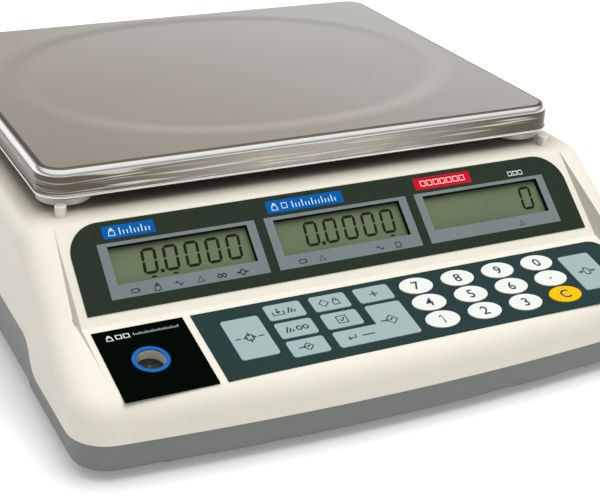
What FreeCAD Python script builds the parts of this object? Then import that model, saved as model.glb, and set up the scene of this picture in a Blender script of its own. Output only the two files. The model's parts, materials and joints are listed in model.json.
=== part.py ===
import FreeCAD, Part
import Sketcher
import math
import os
import re
from FreeCAD import Placement, Rotation, Vector

# A bench-top counting scale.  +X is right, +Y is back, +Z is up, millimetres.  The origin is the
# middle of the footprint, on the surface that the four levelling feet stand on.

DOC = FreeCAD.newDocument("CountingScale")
SHEET = DOC.addObject("Spreadsheet::Sheet", "Sizes")

SIZES = (
    # plan of the housing
    ("body_width", 335), ("body_depth", 357), ("front_corner_radius", 20), ("rear_corner_radius", 20),
    ("front_bow_radius", 1400),
    # top cover: walls, rounded shoulders and their side profile
    ("cover_wall", 2.5), ("cover_draft", 2.6), ("cover_edge_radius", 12), ("deck_height", 87),
    ("shoulder_start", 71.4), ("shoulder_angle", 33.2), ("shoulder_round", 15), ("shoulder_blend", 120),
    # sloping panels, counted from the edge of the deck
    ("panel_start", 72.65), ("display_angle", 40.3), ("display_run", 56.3), ("keypad_angle", 11.55),
    ("panel_width", 295.6), ("panel_side_lean", 35), ("film", 0.5),
    # parting line between cover and base, which steps up behind the keypad
    ("parting_front", 20), ("parting_rear", 34.5), ("parting_step_y", 91.5), ("parting_step_run", 24),
    ("seam_gap", 0.6),
    # grey base tray
    ("base_clearance", 5), ("base_inset", 1), ("base_toe_inset", 1.6), ("base_wall", 3), ("base_floor", 3.5),
    ("base_edge_radius", 2.5), ("lip_clearance", 0.3), ("lip_wall", 1.5), ("lip_height", 4),
    ("grip_front", 88), ("grip_rear", 112), ("grip_rise", 4.5), ("grip_reach", 18),
    # levelling feet
    ("foot_across", 138), ("foot_front", 140), ("foot_rear", 142), ("foot_diameter", 28), ("foot_height", 9),
    ("foot_pocket_clearance", 2), ("foot_boss_wall", 3), ("foot_lift", 4), ("stud_diameter", 8),
    ("stud_height", 30), ("stud_fit", 0.05), ("insert_wall", 1.5), ("insert_height", 12), ("foot_grooves", 12),
    ("foot_groove", 3.2), ("foot_groove_depth", 0.7), ("foot_groove_start", 2.5), ("foot_round", 1.2),
    # cover screws and their posts
    ("front_screw_across", 60), ("front_screw_reach", 169.5), ("side_screw_across", 140), ("side_screw_back", 20),
    ("rear_screw_across", 100), ("rear_screw_reach", 163), ("post_diameter", 9), ("screw_diameter", 3.5), ("screw_fit", 0.05), ("screw_head_diameter", 6.8),
    ("screw_head_height", 2.4), ("screw_grip", 12), ("counterbore_depth", 6),
    # weighing pan
    ("pan_width", 300), ("pan_depth", 241), ("pan_centre", 56.5), ("pan_top", 109), ("pan_height", 14.8),
    ("pan_sheet", 1), ("pan_corner_radius", 14), ("pan_rim_radius", 4.5), ("pan_hem", 0.7),
    ("pan_hem_height", 1.6),
    # pan support and its corner cups and pads
    ("support_across", 134), ("support_reach", 102.5), ("hub_length", 150), ("hub_width", 70),
    ("hub_thickness", 6), ("support_base", 92), ("arm_width", 22), ("arm_thickness", 3), ("rib_width", 4),
    ("boss_diameter", 24), ("pad_diameter", 20), ("pad_thickness", 3.5), ("cup_diameter", 28),
    ("cup_thickness", 3.5), ("platform_travel", 0.3),
    # stop posts on the deck: two under the pan's front edge and two under its sides
    ("stop_across", 141.5), ("stop_reach", 122.5), ("side_stop_across", 148.5), ("side_stop_reach", 81.5),
    ("stop_diameter", 6), ("stop_round", 0.8), ("stop_gap", 1.6),
    # load cell stack
    ("cell_length", 150), ("cell_width", 40), ("cell_height", 30), ("cell_eye", 18), ("cell_eye_spacing", 46),
    ("cell_slot", 8), ("riser_length", 40), ("riser_height", 25), ("plate_length", 190), ("plate_width", 100),
    ("plate_thickness", 4), ("plate_gap", 6), ("plate_boss_diameter", 12), ("plate_inset", 10),
    ("bolt_diameter", 6), ("bolt_fit", 0.08), ("bolt_head_diameter", 10), ("bolt_head_height", 5),
    ("bolt_engage", 12), ("bolt_pitch", 24), ("hatch_clearance", 5), ("hatch_rim", 3), ("hatch_rim_wall", 2),
    # display
    ("display_film_start", 3.45), ("display_film_width", 287), ("display_film_length", 47.5),
    ("display_film_corner", 17), ("window_width", 73.6), ("window_length", 20.4), ("window_start", 13.7),
    ("frame_width", 83.2), ("frame_length", 29.8), ("frame_start", 11.7), ("frame_pitch", 88.3),
    ("frame_gap", 0.1), ("collar_wall", 1.5), ("lcd_margin", 3.5), ("lcd_thickness", 4.8),
    ("display_post_inset", 4),
    ("display_board_width", 276), ("display_board_length", 38), ("board_thickness", 1.6),
    # keypad
    ("keypad_film_start", 4.45), ("keypad_film_left", 95.4), ("keypad_film_right", 145.5),
    ("keypad_film_length", 48.9), ("keypad_film_corner", 8), ("grid_first", 49.7), ("grid_pitch", 24.75),
    ("row_first", 9.7), ("row_pitch", 13.9), ("round_key_width", 18.9), ("round_key_length", 12.5),
    ("square_key_width", 19.7), ("square_key_length", 11.5), ("square_key_corner", 1.6), ("tall_key_length", 29),
    ("tall_key_row", 23.7), ("tall_key_left", 74.2), ("tall_key_right", 122.1), ("key_proud", 0.4),
    ("key_gap", 0.25), ("key_flange", 0.55), ("key_flange_thickness", 1), ("key_travel", 0.4),
    ("key_overtravel", 0.2), ("keypad_board_margin", 4),
    # level badge and spirit level
    ("badge_left", 144.8), ("badge_width", 45.3), ("level_across", 124.1), ("level_row", 24.8),
    ("level_hole", 14), ("level_ring", 17.8), ("level_depth", 5.5), ("level_wall", 2), ("level_height", 6),
    ("level_window", 12.4), ("level_window_thickness", 1.5),
    # electrics in the base
    ("battery_length", 101), ("battery_width", 70), ("battery_height", 47), ("battery_across", 95),
    ("battery_back", 40), ("battery_gap", 1), ("bay_wall", 2), ("bay_height", 14), ("door_gap", 0.3),
    ("door_corner", 1.5), ("ear_width", 10), ("ear_reach", 8), ("ear_wall", 2.5), ("ear_boss_height", 5.5),
    ("ear_counterbore", 2.2), ("main_board_length", 120), ("main_board_width", 62), ("main_board_across", 84),
    ("main_board_back", 45), ("main_board_rise", 9), ("main_board_inset", 4), ("small_screw_diameter", 3),
    ("small_screw_head", 5.5), ("small_screw_head_height", 1.8), ("small_screw_length", 4.4), ("screw_end_gap", 0.2),
    ("plate_screw_length", 9),
    # switch and power socket in the rear wall
    ("switch_across", 40), ("switch_width", 19), ("switch_height", 13), ("switch_flange", 1.5),
    ("switch_flange_thickness", 1.5), ("switch_depth", 14), ("switch_wall", 1.5), ("rocker_gap", 0.4),
    ("rocker_tilt", 8), ("rocker_proud", 0.6), ("rocker_sink", 1), ("rocker_tail", 5), ("rocker_depth", 9),
    ("port_height", 19.5), ("port_sink", 1.2), ("port_margin", 1), ("port_fit", 0.1),
    ("socket_across", 68), ("socket_diameter", 11), ("socket_flange", 15), ("socket_flange_thickness", 1.5),
    ("socket_hole", 5.6), ("socket_hole_depth", 10), ("socket_pin", 2), ("socket_length", 14),
)

for row, (alias, number) in enumerate(SIZES, 1):
    SHEET.set(f"A{row}", alias)
    SHEET.set(f"B{row}", str(number))
    SHEET.setAlias(f"B{row}", alias)
DOC.recompute()

ALIASES = {alias for alias, _ in SIZES}
UP = Vector(0, 0, 1)
NODES = {}


def mm(alias):
    """The number that the sheet holds under an alias."""
    return float(SHEET.get(alias))


def formula(text):
    """Write a formula of aliases the way the expression engine wants it."""
    return re.sub(r"[a-z_]+", lambda word: "Sizes." + word[0] if word[0] in ALIASES else word[0], text)


def bound(kind, name, **properties):
    """Add an object; properties given as text are bound to the sheet."""
    made = DOC.addObject(kind, name)
    for key, setting in properties.items():
        if isinstance(setting, str):
            made.setExpression(key, formula(setting))
        else:
            setattr(made, key, setting)
    return made


def at(made, x=0.0, y=0.0, z=0.0, frame=Placement(), turn=Rotation()):
    """Put an object at a place of a frame."""
    made.Placement = frame.multiply(Placement(Vector(x, y, z), turn))
    return made


def block(name, length, width, height, x, y, z, frame=Placement()):
    """A box whose middle stands at x, y and whose underside is at z."""
    made = bound("Part::Box", name, Length=length, Width=width, Height=height)
    DOC.recompute()
    return at(made, x - made.Length.Value / 2, y - made.Width.Value / 2, z, frame)


def rod(name, diameter, height, x, y, z, frame=Placement(), turn=Rotation()):
    """A cylinder whose foot is at x, y, z."""
    made = bound("Part::Cylinder", name, Radius=f"({diameter}) / 2", Height=height)
    return at(made, x, y, z, frame, turn)


def union(name, pieces):
    return bound("Part::MultiFuse", name, Shapes=list(pieces))


def group(name, pieces):
    return bound("Part::Compound", name, Links=list(pieces))


def cut(name, base, tool):
    return bound("Part::Cut", name, Base=base, Tool=tool)


def shaped(name, shape):
    made = DOC.addObject("Part::Feature", name)
    made.Shape = shape
    return made


def rounded(name, base, radius, wanted):
    """Round the edges of base that wanted(edge) picks."""
    DOC.recompute()
    made = DOC.addObject("Part::Fillet", name)
    made.Base = base
    made.Edges = [(i, radius, radius) for i, edge in enumerate(base.Shape.Edges, 1) if wanted(edge)]
    DOC.recompute()
    return made


def upright(edge, frame=Placement()):
    """Whether a straight edge runs along the third axis of the frame."""
    if not isinstance(edge.Curve, Part.Line):
        return False
    axis = frame.Rotation.multVec(UP)
    return abs(abs(edge.Curve.Direction.dot(axis)) - 1) < 1e-6


def node(name, made):
    """Name a sub-part; its label is the name of its file."""
    made.Label = name
    NODES[name] = made
    return made


# ---------------------------------------------------------------- frames and derived places
def panel_point(start, run, angle):
    lean = math.radians(angle)
    return Vector(0, start.y - run * math.cos(lean), start.z - run * math.sin(lean))


HALF_WIDTH = mm("body_width") / 2
FRONT = -mm("body_depth") / 2
BACK = mm("body_depth") / 2
PANEL_TOP = Vector(0, -mm("panel_start"), mm("deck_height"))
PANEL_KINK = panel_point(PANEL_TOP, mm("display_run"), mm("display_angle"))

# In a panel frame X runs across, Y up the slope and Z out of the panel; the film's face is at Z = 0.
DISPLAY = Placement(PANEL_TOP, Rotation(Vector(1, 0, 0), mm("display_angle")))
KEYPAD = Placement(PANEL_KINK, Rotation(Vector(1, 0, 0), mm("keypad_angle")))

WALL_UNDERSIDE = -mm("film") - mm("cover_wall")
FLOOR_TOP = mm("base_clearance") + mm("base_floor")
PLATE_BASE = FLOOR_TOP + mm("plate_gap")
RISER_BASE = PLATE_BASE + mm("plate_thickness")
CELL_BASE = RISER_BASE + mm("riser_height")
CELL_TOP = CELL_BASE + mm("cell_height")
CELL_END = (mm("cell_length") - mm("riser_length")) / 2
PAN_UNDERSIDE = mm("pan_top") - mm("pan_sheet")
PAN_SKIRT = mm("pan_top") - mm("pan_height")
PAN_Y = mm("pan_centre")
BOSS_TOP = PAN_UNDERSIDE - mm("pad_thickness")
CUP_BASE = mm("support_base") - mm("cup_thickness")
DISPLAY_FILM = -mm("display_film_start")
KEYPAD_FILM = -mm("keypad_film_start")
SCREW_PLACES = [(sign * mm(row + "_across"), y) for row, y in (("front_screw", -mm("front_screw_reach")),
                                                             ("side_screw", mm("side_screw_back")),
                                                             ("rear_screw", mm("rear_screw_reach")))
                for sign in (-1, 1)]
STOP_PLACES = [(sign * mm(pair + "_across"), y) for pair, y in (("stop", PAN_Y - mm("stop_reach")),
                                                               ("side_stop", PAN_Y + mm("side_stop_reach")))
               for sign in (-1, 1)]
FOOT_PLACES = {
    "front_left": (-mm("foot_across"), -mm("foot_front")),
    "front_right": (mm("foot_across"), -mm("foot_front")),
    "rear_left": (-mm("foot_across"), mm("foot_rear")),
    "rear_right": (mm("foot_across"), mm("foot_rear")),
}


# ---------------------------------------------------------------- housing outline
def plan_outline(inset, height):
    """The housing's plan, moved in by inset: bowed front, straight sides and back, round corners."""
    side = HALF_WIDTH - inset
    bow = mm("front_bow_radius")
    corner = mm("front_corner_radius")
    back = mm("rear_corner_radius")
    bow_middle = Vector(0, FRONT + bow, height)
    corner_x = HALF_WIDTH - corner
    corner_y = FRONT + bow - math.sqrt((bow - corner) ** 2 - corner_x ** 2)
    back_y = BACK - back
    back_x = HALF_WIDTH - back
    slant = math.sqrt(0.5) * (back - inset)

    def front_corner(sign):
        middle = Vector(sign * corner_x, corner_y, height)
        outward = (middle - bow_middle).normalize()
        bisector = (outward + Vector(sign, 0, 0)).normalize()
        return (Vector(sign * side, corner_y, height), middle + bisector * (corner - inset),
                bow_middle + outward * (bow - inset))

    left, left_mid, left_bow = front_corner(-1)
    right, right_mid, right_bow = front_corner(1)
    back_right = Vector(side, back_y, height)
    back_left = Vector(-side, back_y, height)
    end_right = Vector(back_x, BACK - inset, height)
    end_left = Vector(-back_x, BACK - inset, height)
    curves = (
        Part.Arc(left, left_mid, left_bow),
        Part.Arc(left_bow, Vector(0, FRONT + inset, height), right_bow),
        Part.Arc(right_bow, right_mid, right),
        Part.LineSegment(right, back_right),
        Part.Arc(back_right, Vector(back_x + slant, back_y + slant, height), end_right),
        Part.LineSegment(end_right, end_left),
        Part.Arc(end_left, Vector(-back_x - slant, back_y + slant, height), back_left),
        Part.LineSegment(back_left, left),
    )
    return Part.Wire([curve.toShape() for curve in curves])


def prism(low_inset, low, high_inset, high):
    """The housing's plan drawn between two heights."""
    return Part.makeLoft([plan_outline(low_inset, low), plan_outline(high_inset, high)], True, True)


def across(points_and_arcs, left, right):
    """Sweep a closed outline of the side view across the housing."""
    wire = Part.Wire([curve.toShape() for curve in points_and_arcs])
    wire.translate(Vector(left, 0, 0))
    return Part.Face(wire).extrude(Vector(right - left, 0, 0))


def crossing(first, first_angle, second, second_angle):
    """Where two lines of the side view meet."""
    rise = math.tan(math.radians(first_angle))
    other = math.tan(math.radians(second_angle))
    y = (second.z - first.z + rise * first.y - other * second.y) / (rise - other)
    return Vector(0, y, first.z + rise * (y - first.y))


def corner_arc(before, corner, after, radius):
    """The arc that rounds a corner of an outline."""
    back = (before - corner).normalize()
    ahead = (after - corner).normalize()
    half = back.getAngle(ahead) / 2
    reach = radius / math.tan(half)
    middle = corner + (back + ahead).normalize() * (radius / math.sin(half))
    return corner + back * reach, middle + (corner - middle).normalize() * radius, corner + ahead * reach


def shoulder_prism(inset):
    """Everything under the cover's side profile: deck, shoulder slope and keypad slope."""
    slope = mm("shoulder_angle")
    tilt = mm("keypad_angle")
    deck = mm("deck_height") - inset

    def lowered(point, angle, depth):
        lean = math.radians(angle)
        return point + Vector(0, depth * math.sin(lean), -depth * math.cos(lean))

    brow = lowered(Vector(0, -mm("shoulder_start"), mm("deck_height")), slope, inset)
    panel = lowered(PANEL_KINK, tilt, inset + mm("film"))
    rear = Vector(0, BACK + mm("cover_edge_radius"), deck)
    top = crossing(rear, 0, brow, slope)
    foot = crossing(brow, slope, panel, tilt)
    nose = crossing(panel, tilt, Vector(0, FRONT - mm("cover_edge_radius"), 0), 89.99)
    first = corner_arc(rear, top, foot, mm("shoulder_round"))
    second = corner_arc(top, foot, nose, mm("shoulder_blend"))
    under_nose = Vector(0, nose.y, 0)
    under_rear = Vector(0, rear.y, 0)
    outline = (
        Part.LineSegment(rear, first[0]), Part.Arc(*first), Part.LineSegment(first[2], second[0]),
        Part.Arc(*second), Part.LineSegment(second[2], nose), Part.LineSegment(nose, under_nose),
        Part.LineSegment(under_nose, under_rear), Part.LineSegment(under_rear, rear),
    )
    return across(outline, -HALF_WIDTH - 1, HALF_WIDTH + 1)


def cover_form(inset):
    """The cover's outside, or its inside when inset is the wall."""
    low = mm("parting_front") - mm("seam_gap")
    high = mm("deck_height") + mm("cover_edge_radius")
    lean = (high - low) * math.tan(math.radians(mm("cover_draft")))
    form = prism(inset, low, inset + lean, high).common(shoulder_prism(inset)).Solids[0]
    brim = mm("cover_edge_radius") - inset

    def on_brim(edge):
        if edge.BoundBox.ZMin < low + 1:
            return False
        flat_span = edge.BoundBox.YLength < 1 and edge.BoundBox.XLength > HALF_WIDTH
        return not (flat_span and FRONT + 15 < edge.BoundBox.Center.y < BACK - 10)

    return form.makeFillet(brim, [edge for edge in form.Edges if on_brim(edge)])


def panel_cut(margin):
    """The room above the two sloping panels, with leaning sides, grown by margin."""
    depth = mm("film") + margin
    clear = 25
    lean = math.tan(math.radians(mm("panel_side_lean")))
    low = mm("panel_width") / 2 + margin
    high = low + clear * lean
    long = BACK

    def wedge(frame, start, end):
        lower = [Vector(-low, start, -depth), Vector(low, start, -depth),
                 Vector(high, start, clear - depth), Vector(-high, start, clear - depth)]
        face = Part.Face(Part.makePolygon(lower + lower[:1]))
        solid = face.extrude(Vector(0, end - start, 0))
        solid.Placement = frame
        return solid

    # the display wedge stops where its floor meets the keypad's floor
    turn = math.radians(mm("display_angle") - mm("keypad_angle"))
    meet = depth * math.tan(turn / 2)
    display = wedge(DISPLAY, 20, -mm("display_run") - meet)
    keypad = wedge(KEYPAD, meet, -long)
    return display.fuse(keypad)


def parting_prism(offset):
    """Everything under the parting line, moved up by offset."""
    low = mm("parting_front") + offset
    high = mm("parting_rear") + offset
    run = mm("parting_step_run")
    start = -mm("parting_step_y") - run / 2
    end = start + run
    rise = high - low
    radius = (rise ** 2 + run ** 2) / (4 * rise)
    middle = Vector(0, (start + end) / 2, (low + high) / 2)
    half_turn = math.asin(run / 2 / radius) / 2
    swell = Vector(0, radius * math.sin(half_turn), radius * (1 - math.cos(half_turn)))
    foot = Vector(0, start, low)
    head = Vector(0, end, high)
    nose = Vector(0, FRONT - 10, low)
    tail = Vector(0, BACK + 10, high)
    under_nose = Vector(0, nose.y, -10)
    under_tail = Vector(0, tail.y, -10)
    outline = (
        Part.LineSegment(nose, foot), Part.Arc(foot, foot + swell, middle), Part.Arc(middle, head - swell, head),
        Part.LineSegment(head, tail), Part.LineSegment(tail, under_tail),
        Part.LineSegment(under_tail, under_nose), Part.LineSegment(under_nose, nose),
    )
    return across(outline, -HALF_WIDTH - 10, HALF_WIDTH + 10)


# ---------------------------------------------------------------- keys
def key_spots():
    """Every key: its name and the rectangles or oval that make its face, as x, y, width, length, oval."""
    columns = [-mm("grid_first") + i * mm("grid_pitch") for i in range(7)]
    rows = [KEYPAD_FILM - mm("row_first") - j * mm("row_pitch") for j in range(3)]
    tall = KEYPAD_FILM - mm("tall_key_row")
    wide = mm("square_key_width")
    short = mm("square_key_length")
    spots = {"key_calibrate": [(-mm("tall_key_left"), tall, wide, mm("tall_key_length"), False)]}
    for name, i, j in (("tare", 0, 0), ("preset", 1, 0), ("plus", 2, 0), ("sample", 0, 1), ("unit", 1, 1),
                       ("memory", 0, 2)):
        spots["key_" + name] = [(columns[i], rows[j], wide, short, False)]
    pitch_x = mm("grid_pitch")
    pitch_y = mm("row_pitch")
    spots["key_enter"] = [
        (columns[2], rows[1] - pitch_y / 2, wide, short + pitch_y, False),
        (columns[2] - pitch_x / 2, rows[2], wide + pitch_x, short, False),
    ]
    for j, names in enumerate((("7", "8", "9", "0"), ("4", "5", "6", "point"), ("1", "2", "3", "clear"))):
        for i, name in enumerate(names):
            spots["key_" + name] = [
                (columns[3 + i], rows[j], mm("round_key_width"), mm("round_key_length"), True)]
    spots["key_zero"] = [(mm("tall_key_right"), tall, wide, mm("tall_key_length"), False)]
    return spots


def key_prism(spots, margin, low, high):
    """A key's outline grown by margin, between two depths of the keypad frame."""
    solids = []
    for x, y, width, length, oval in spots:
        if oval:
            ring = Part.Ellipse(Vector(x, y, low), width / 2 + margin, length / 2 + margin).toShape()
            solids.append(Part.Face(Part.Wire(ring)).extrude(Vector(0, 0, high - low)))
        else:
            corner = Vector(x - width / 2 - margin, y - length / 2 - margin, low)
            slab = Part.makeBox(width + 2 * margin, length + 2 * margin, high - low, corner)
            radius = mm("square_key_corner") + margin
            solids.append(slab.makeFillet(radius, [edge for edge in slab.Edges if upright(edge)]))
    solid = solids[0]
    for other in solids[1:]:
        solid = solid.fuse(other).removeSplitter()
    solid.Placement = KEYPAD
    return solid


def keys():
    """Caps that stand a little proud of the film, held by a flange under the cover's wall."""
    under = WALL_UNDERSIDE
    for name, spots in key_spots().items():
        cap = key_prism(spots, 0, under, mm("key_proud"))
        flange = key_prism(spots, mm("key_flange"), under - mm("key_flange_thickness"), under)
        node(name, shaped(name, cap.fuse(flange).removeSplitter()))


# ---------------------------------------------------------------- top cover
def frame_spots():
    """Middles of the three display frames, left to right."""
    middle = DISPLAY_FILM - mm("frame_start") - mm("frame_length") / 2
    return [(i * mm("frame_pitch"), middle) for i in (-1, 0, 1)]


def slab(width, length, low, high, x, y, frame, radius=0):
    """A plate across a panel frame between two depths."""
    solid = Part.makeBox(width, length, high - low, Vector(x - width / 2, y - length / 2, low))
    if radius:
        solid = solid.makeFillet(radius, [edge for edge in solid.Edges if upright(edge)])
    solid.Placement = frame
    return solid


def pin(diameter, low, high, x, y, frame=Placement()):
    solid = Part.makeCylinder(diameter / 2, high - low, Vector(x, y, low))
    solid.Placement = frame
    return solid


def window_middle(y):
    """The window lies off the middle of its frame, nearer the top."""
    frame_top = y + mm("frame_length") / 2
    return frame_top - (mm("window_start") - mm("frame_start")) - mm("window_length") / 2


def four_places(width, length, middle_x, middle_y):
    """The corners of a rectangle about a middle."""
    return [(middle_x + sx * width / 2, middle_y + sy * length / 2) for sx in (-1, 1) for sy in (-1, 1)]


def board_posts(width, length, inset, middle_x, middle_y):
    """Four places near a board's corners."""
    return four_places(width - 2 * inset, length - 2 * inset, middle_x, middle_y)


DISPLAY_BOARD_TOP = WALL_UNDERSIDE - mm("lcd_thickness")
DISPLAY_BOARD_Y = frame_spots()[0][1]
DISPLAY_POSTS = four_places(mm("frame_pitch"), mm("display_board_length") - 2 * mm("display_post_inset"), 0,
                            DISPLAY_BOARD_Y)
KEYPAD_BOARD_TOP = (WALL_UNDERSIDE - mm("key_flange_thickness") - mm("key_travel") - mm("key_overtravel"))
KEYPAD_LEFT = -mm("tall_key_left") - mm("square_key_width") / 2
KEYPAD_RIGHT = mm("tall_key_right") + mm("square_key_width") / 2
KEYPAD_MIDDLE = ((KEYPAD_LEFT + KEYPAD_RIGHT) / 2, KEYPAD_FILM - mm("tall_key_row"))
KEYPAD_BOARD = (KEYPAD_RIGHT - KEYPAD_LEFT + 4 * mm("keypad_board_margin"),
                mm("tall_key_length") + 4 * mm("keypad_board_margin"))
KEYPAD_POSTS = board_posts(*KEYPAD_BOARD, mm("keypad_board_margin"), *KEYPAD_MIDDLE)
SMALL_POST = mm("small_screw_diameter") + 4
LEVEL_SPOT = (-mm("level_across"), KEYPAD_FILM - mm("level_row"))
HATCH_X = CELL_END


def cover():
    """Cream shell: deck, raised shoulders, sunk display and keypad panels."""
    wall = mm("cover_wall")
    outside = cover_form(0).cut(panel_cut(0))
    inside = cover_form(wall).cut(panel_cut(wall))
    shell = outside.cut(inside).cut(parting_prism(mm("seam_gap") / 2))
    low = mm("parting_front")

    added = []
    for x, y in SCREW_PLACES:
        added.append(pin(mm("post_diameter"), low, mm("deck_height"), x, y).common(outside))
    for x, y in DISPLAY_POSTS:
        added.append(pin(SMALL_POST, DISPLAY_BOARD_TOP, -mm("film"), x, y, DISPLAY))
    for x, y in KEYPAD_POSTS:
        added.append(pin(SMALL_POST, KEYPAD_BOARD_TOP, -mm("film"), x, y, KEYPAD))
    added.append(pin(mm("level_ring") + 2 * mm("level_wall"), -mm("level_depth"), -mm("film"), *LEVEL_SPOT, KEYPAD))
    stop_top = PAN_SKIRT - mm("stop_gap")
    for x, y in STOP_PLACES:
        post = pin(mm("stop_diameter"), mm("deck_height") - wall, stop_top, x, y)
        ring = [edge for edge in post.Edges if edge.BoundBox.ZMin > stop_top - 0.1]
        added.append(post.makeFillet(mm("stop_round"), ring))
    hatch = mm("riser_length") + 2 * mm("hatch_clearance")
    rim = hatch + 2 * mm("hatch_rim_wall")
    added.append(slab(rim, rim, mm("deck_height") - wall, mm("deck_height") + mm("hatch_rim"), HATCH_X, PAN_Y,
                      Placement(), 4))
    shell = shell.fuse(added)

    removed = [slab(hatch, hatch, low, mm("deck_height") + 10, HATCH_X, PAN_Y, Placement(), 2)]
    gap = mm("frame_gap")
    collar = 2 * (mm("collar_wall") + gap)
    for x, y in frame_spots():
        removed.append(slab(mm("window_width") + collar, mm("window_length") + collar, WALL_UNDERSIDE - 1, 5,
                            x, window_middle(y), DISPLAY))
    for spots in key_spots().values():
        removed.append(key_prism(spots, mm("key_gap"), WALL_UNDERSIDE - 0.5, 5))
    removed.append(pin(mm("level_hole"), -mm("level_depth") - 1, 5, *LEVEL_SPOT, KEYPAD))
    small = mm("small_screw_diameter") + 2 * mm("screw_fit")
    bite = mm("small_screw_length") - mm("board_thickness") + mm("screw_end_gap")
    for places, frame, foot in ((DISPLAY_POSTS, DISPLAY, DISPLAY_BOARD_TOP), (KEYPAD_POSTS, KEYPAD, KEYPAD_BOARD_TOP)):
        for x, y in places:
            removed.append(pin(small, foot - 1, foot + bite, x, y, frame))
    screw = mm("screw_diameter") + 2 * mm("screw_fit")
    for x, y in SCREW_PLACES:
        removed.append(pin(screw, low - 1, low + mm("screw_grip"), x, y))
    node("top_cover", shaped("top_cover", shell.cut(removed).removeSplitter()))


# ---------------------------------------------------------------- base tray
PLATE_POSTS = board_posts(mm("plate_length"), mm("plate_width"), mm("plate_inset"), 0, PAN_Y)
MAIN_SPOT = (-mm("main_board_across"), -mm("main_board_back"))
MAIN_POSTS = board_posts(mm("main_board_length"), mm("main_board_width"), mm("main_board_inset"), *MAIN_SPOT)
MAIN_BOARD_BASE = FLOOR_TOP + mm("main_board_rise")
BATTERY_SPOT = (mm("battery_across"), -mm("battery_back"))
BAY_LENGTH = mm("battery_length") + 2 * mm("battery_gap")
BAY_WIDTH = mm("battery_width") + 2 * mm("battery_gap")
EAR_PLACES = [(BATTERY_SPOT[0], BATTERY_SPOT[1] + sign * (BAY_WIDTH / 2 + mm("ear_reach"))) for sign in (-1, 1)]
FOOT_CEILING = mm("foot_height") + mm("foot_lift")
INSERT_DIAMETER = mm("stud_diameter") + 2 * mm("insert_wall")
PORT_FACE = BACK - mm("base_toe_inset") - mm("port_sink")


def tray_walls():
    """Floor and drafted wall with a soft toe, cut off along the parting line, and the lip inside the wall."""
    toe = mm("base_clearance")
    wall = mm("base_wall")
    high = mm("parting_rear") + mm("lip_height")
    outside = prism(mm("base_toe_inset"), toe, mm("base_inset"), high)
    toe_edges = [edge for edge in outside.Edges if edge.BoundBox.ZMax < toe + 0.1]
    outside = outside.makeFillet(mm("base_edge_radius"), toe_edges)
    inside = prism(mm("base_toe_inset") + wall, FLOOR_TOP, mm("base_inset") + wall, high + 1)
    tray = outside.common(parting_prism(-mm("seam_gap") / 2)).cut(inside)
    lip_face = mm("base_inset") + mm("cover_wall") + mm("lip_clearance")
    lip_back = lip_face + mm("lip_wall")
    lip = prism(lip_face, FLOOR_TOP, lip_face, high + 1).cut(prism(lip_back, FLOOR_TOP - 1, lip_back, high + 2))
    post_room = mm("post_diameter") + 2 * mm("lip_clearance")
    lip = lip.cut([pin(post_room, mm("parting_front"), high + 2, x, y) for x, y in SCREW_PLACES])
    return outside, tray, lip.common(parting_prism(mm("lip_height")))


def grip_room(sign):
    """The finger grip under one side, with a sloping wall at each end."""
    toe = mm("base_clearance")
    below = 5
    rise = mm("grip_rise") + below
    start = Vector(0, -mm("grip_front") - below, toe - below)
    end = Vector(0, mm("grip_rear") + below, toe - below)
    profile = [start, start + Vector(0, rise, rise), end + Vector(0, -rise, rise), end, start]
    reach = mm("grip_reach") + below
    left = HALF_WIDTH - mm("grip_reach") if sign > 0 else -HALF_WIDTH - below
    side = Part.Face(Part.makePolygon(profile))
    side.translate(Vector(left, 0, 0))
    return side.extrude(Vector(reach, 0, 0))


def grip_roof(sign):
    """The raised floor over a finger grip."""
    roof = mm("base_wall")
    length = mm("grip_front") + mm("grip_rear") + 2 * roof
    width = mm("grip_reach") + roof
    left = HALF_WIDTH - width if sign > 0 else -HALF_WIDTH
    corner = Vector(left, -mm("grip_front") - roof, mm("base_clearance"))
    return Part.makeBox(width, length, mm("grip_rise") + roof, corner)


def door_outline(margin, low, high):
    """The battery door, grown by margin: a plate as large as the battery's bay, with a screw ear at each side."""
    plate = slab(BAY_LENGTH - 2 * mm("door_gap") + 2 * margin, BAY_WIDTH - 2 * mm("door_gap") + 2 * margin, low, high,
                 *BATTERY_SPOT, Placement(), mm("door_corner"))
    ears = []
    for x, y in EAR_PLACES:
        ears.append(pin(mm("ear_width") + 2 * margin, low, high, x, y))
        middle = (y + BATTERY_SPOT[1]) / 2
        ears.append(slab(mm("ear_width") + 2 * margin, abs(y - BATTERY_SPOT[1]), low, high, x, middle, Placement()))
    return plate.fuse(ears).removeSplitter()


def port_recess():
    """A flat shallow recess in the sloping rear wall, for the switch and the power socket."""
    margin = mm("port_margin")
    left = mm("switch_across") - mm("switch_width") / 2 - mm("switch_flange") - margin
    right = mm("socket_across") + mm("socket_flange") / 2 + margin
    tall = max(mm("switch_height") + 2 * mm("switch_flange"), mm("socket_flange")) + 2 * margin
    return Part.makeBox(right - left, 10, tall, Vector(left, PORT_FACE, mm("port_height") - tall / 2))


def port_holes():
    """The openings that the switch and the power socket pass through."""
    deep = 20
    rear = PORT_FACE - deep / 2
    fit = mm("port_fit")
    width = mm("switch_width") + 2 * fit
    height = mm("switch_height") + 2 * fit
    z = mm("port_height")
    square = Part.makeBox(width, deep, height, Vector(mm("switch_across") - width / 2, rear, z - height / 2))
    bore = Part.makeCylinder(mm("socket_diameter") / 2 + fit, deep, Vector(mm("socket_across"), rear, z),
                             Vector(0, 1, 0))
    return [square, bore]


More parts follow.
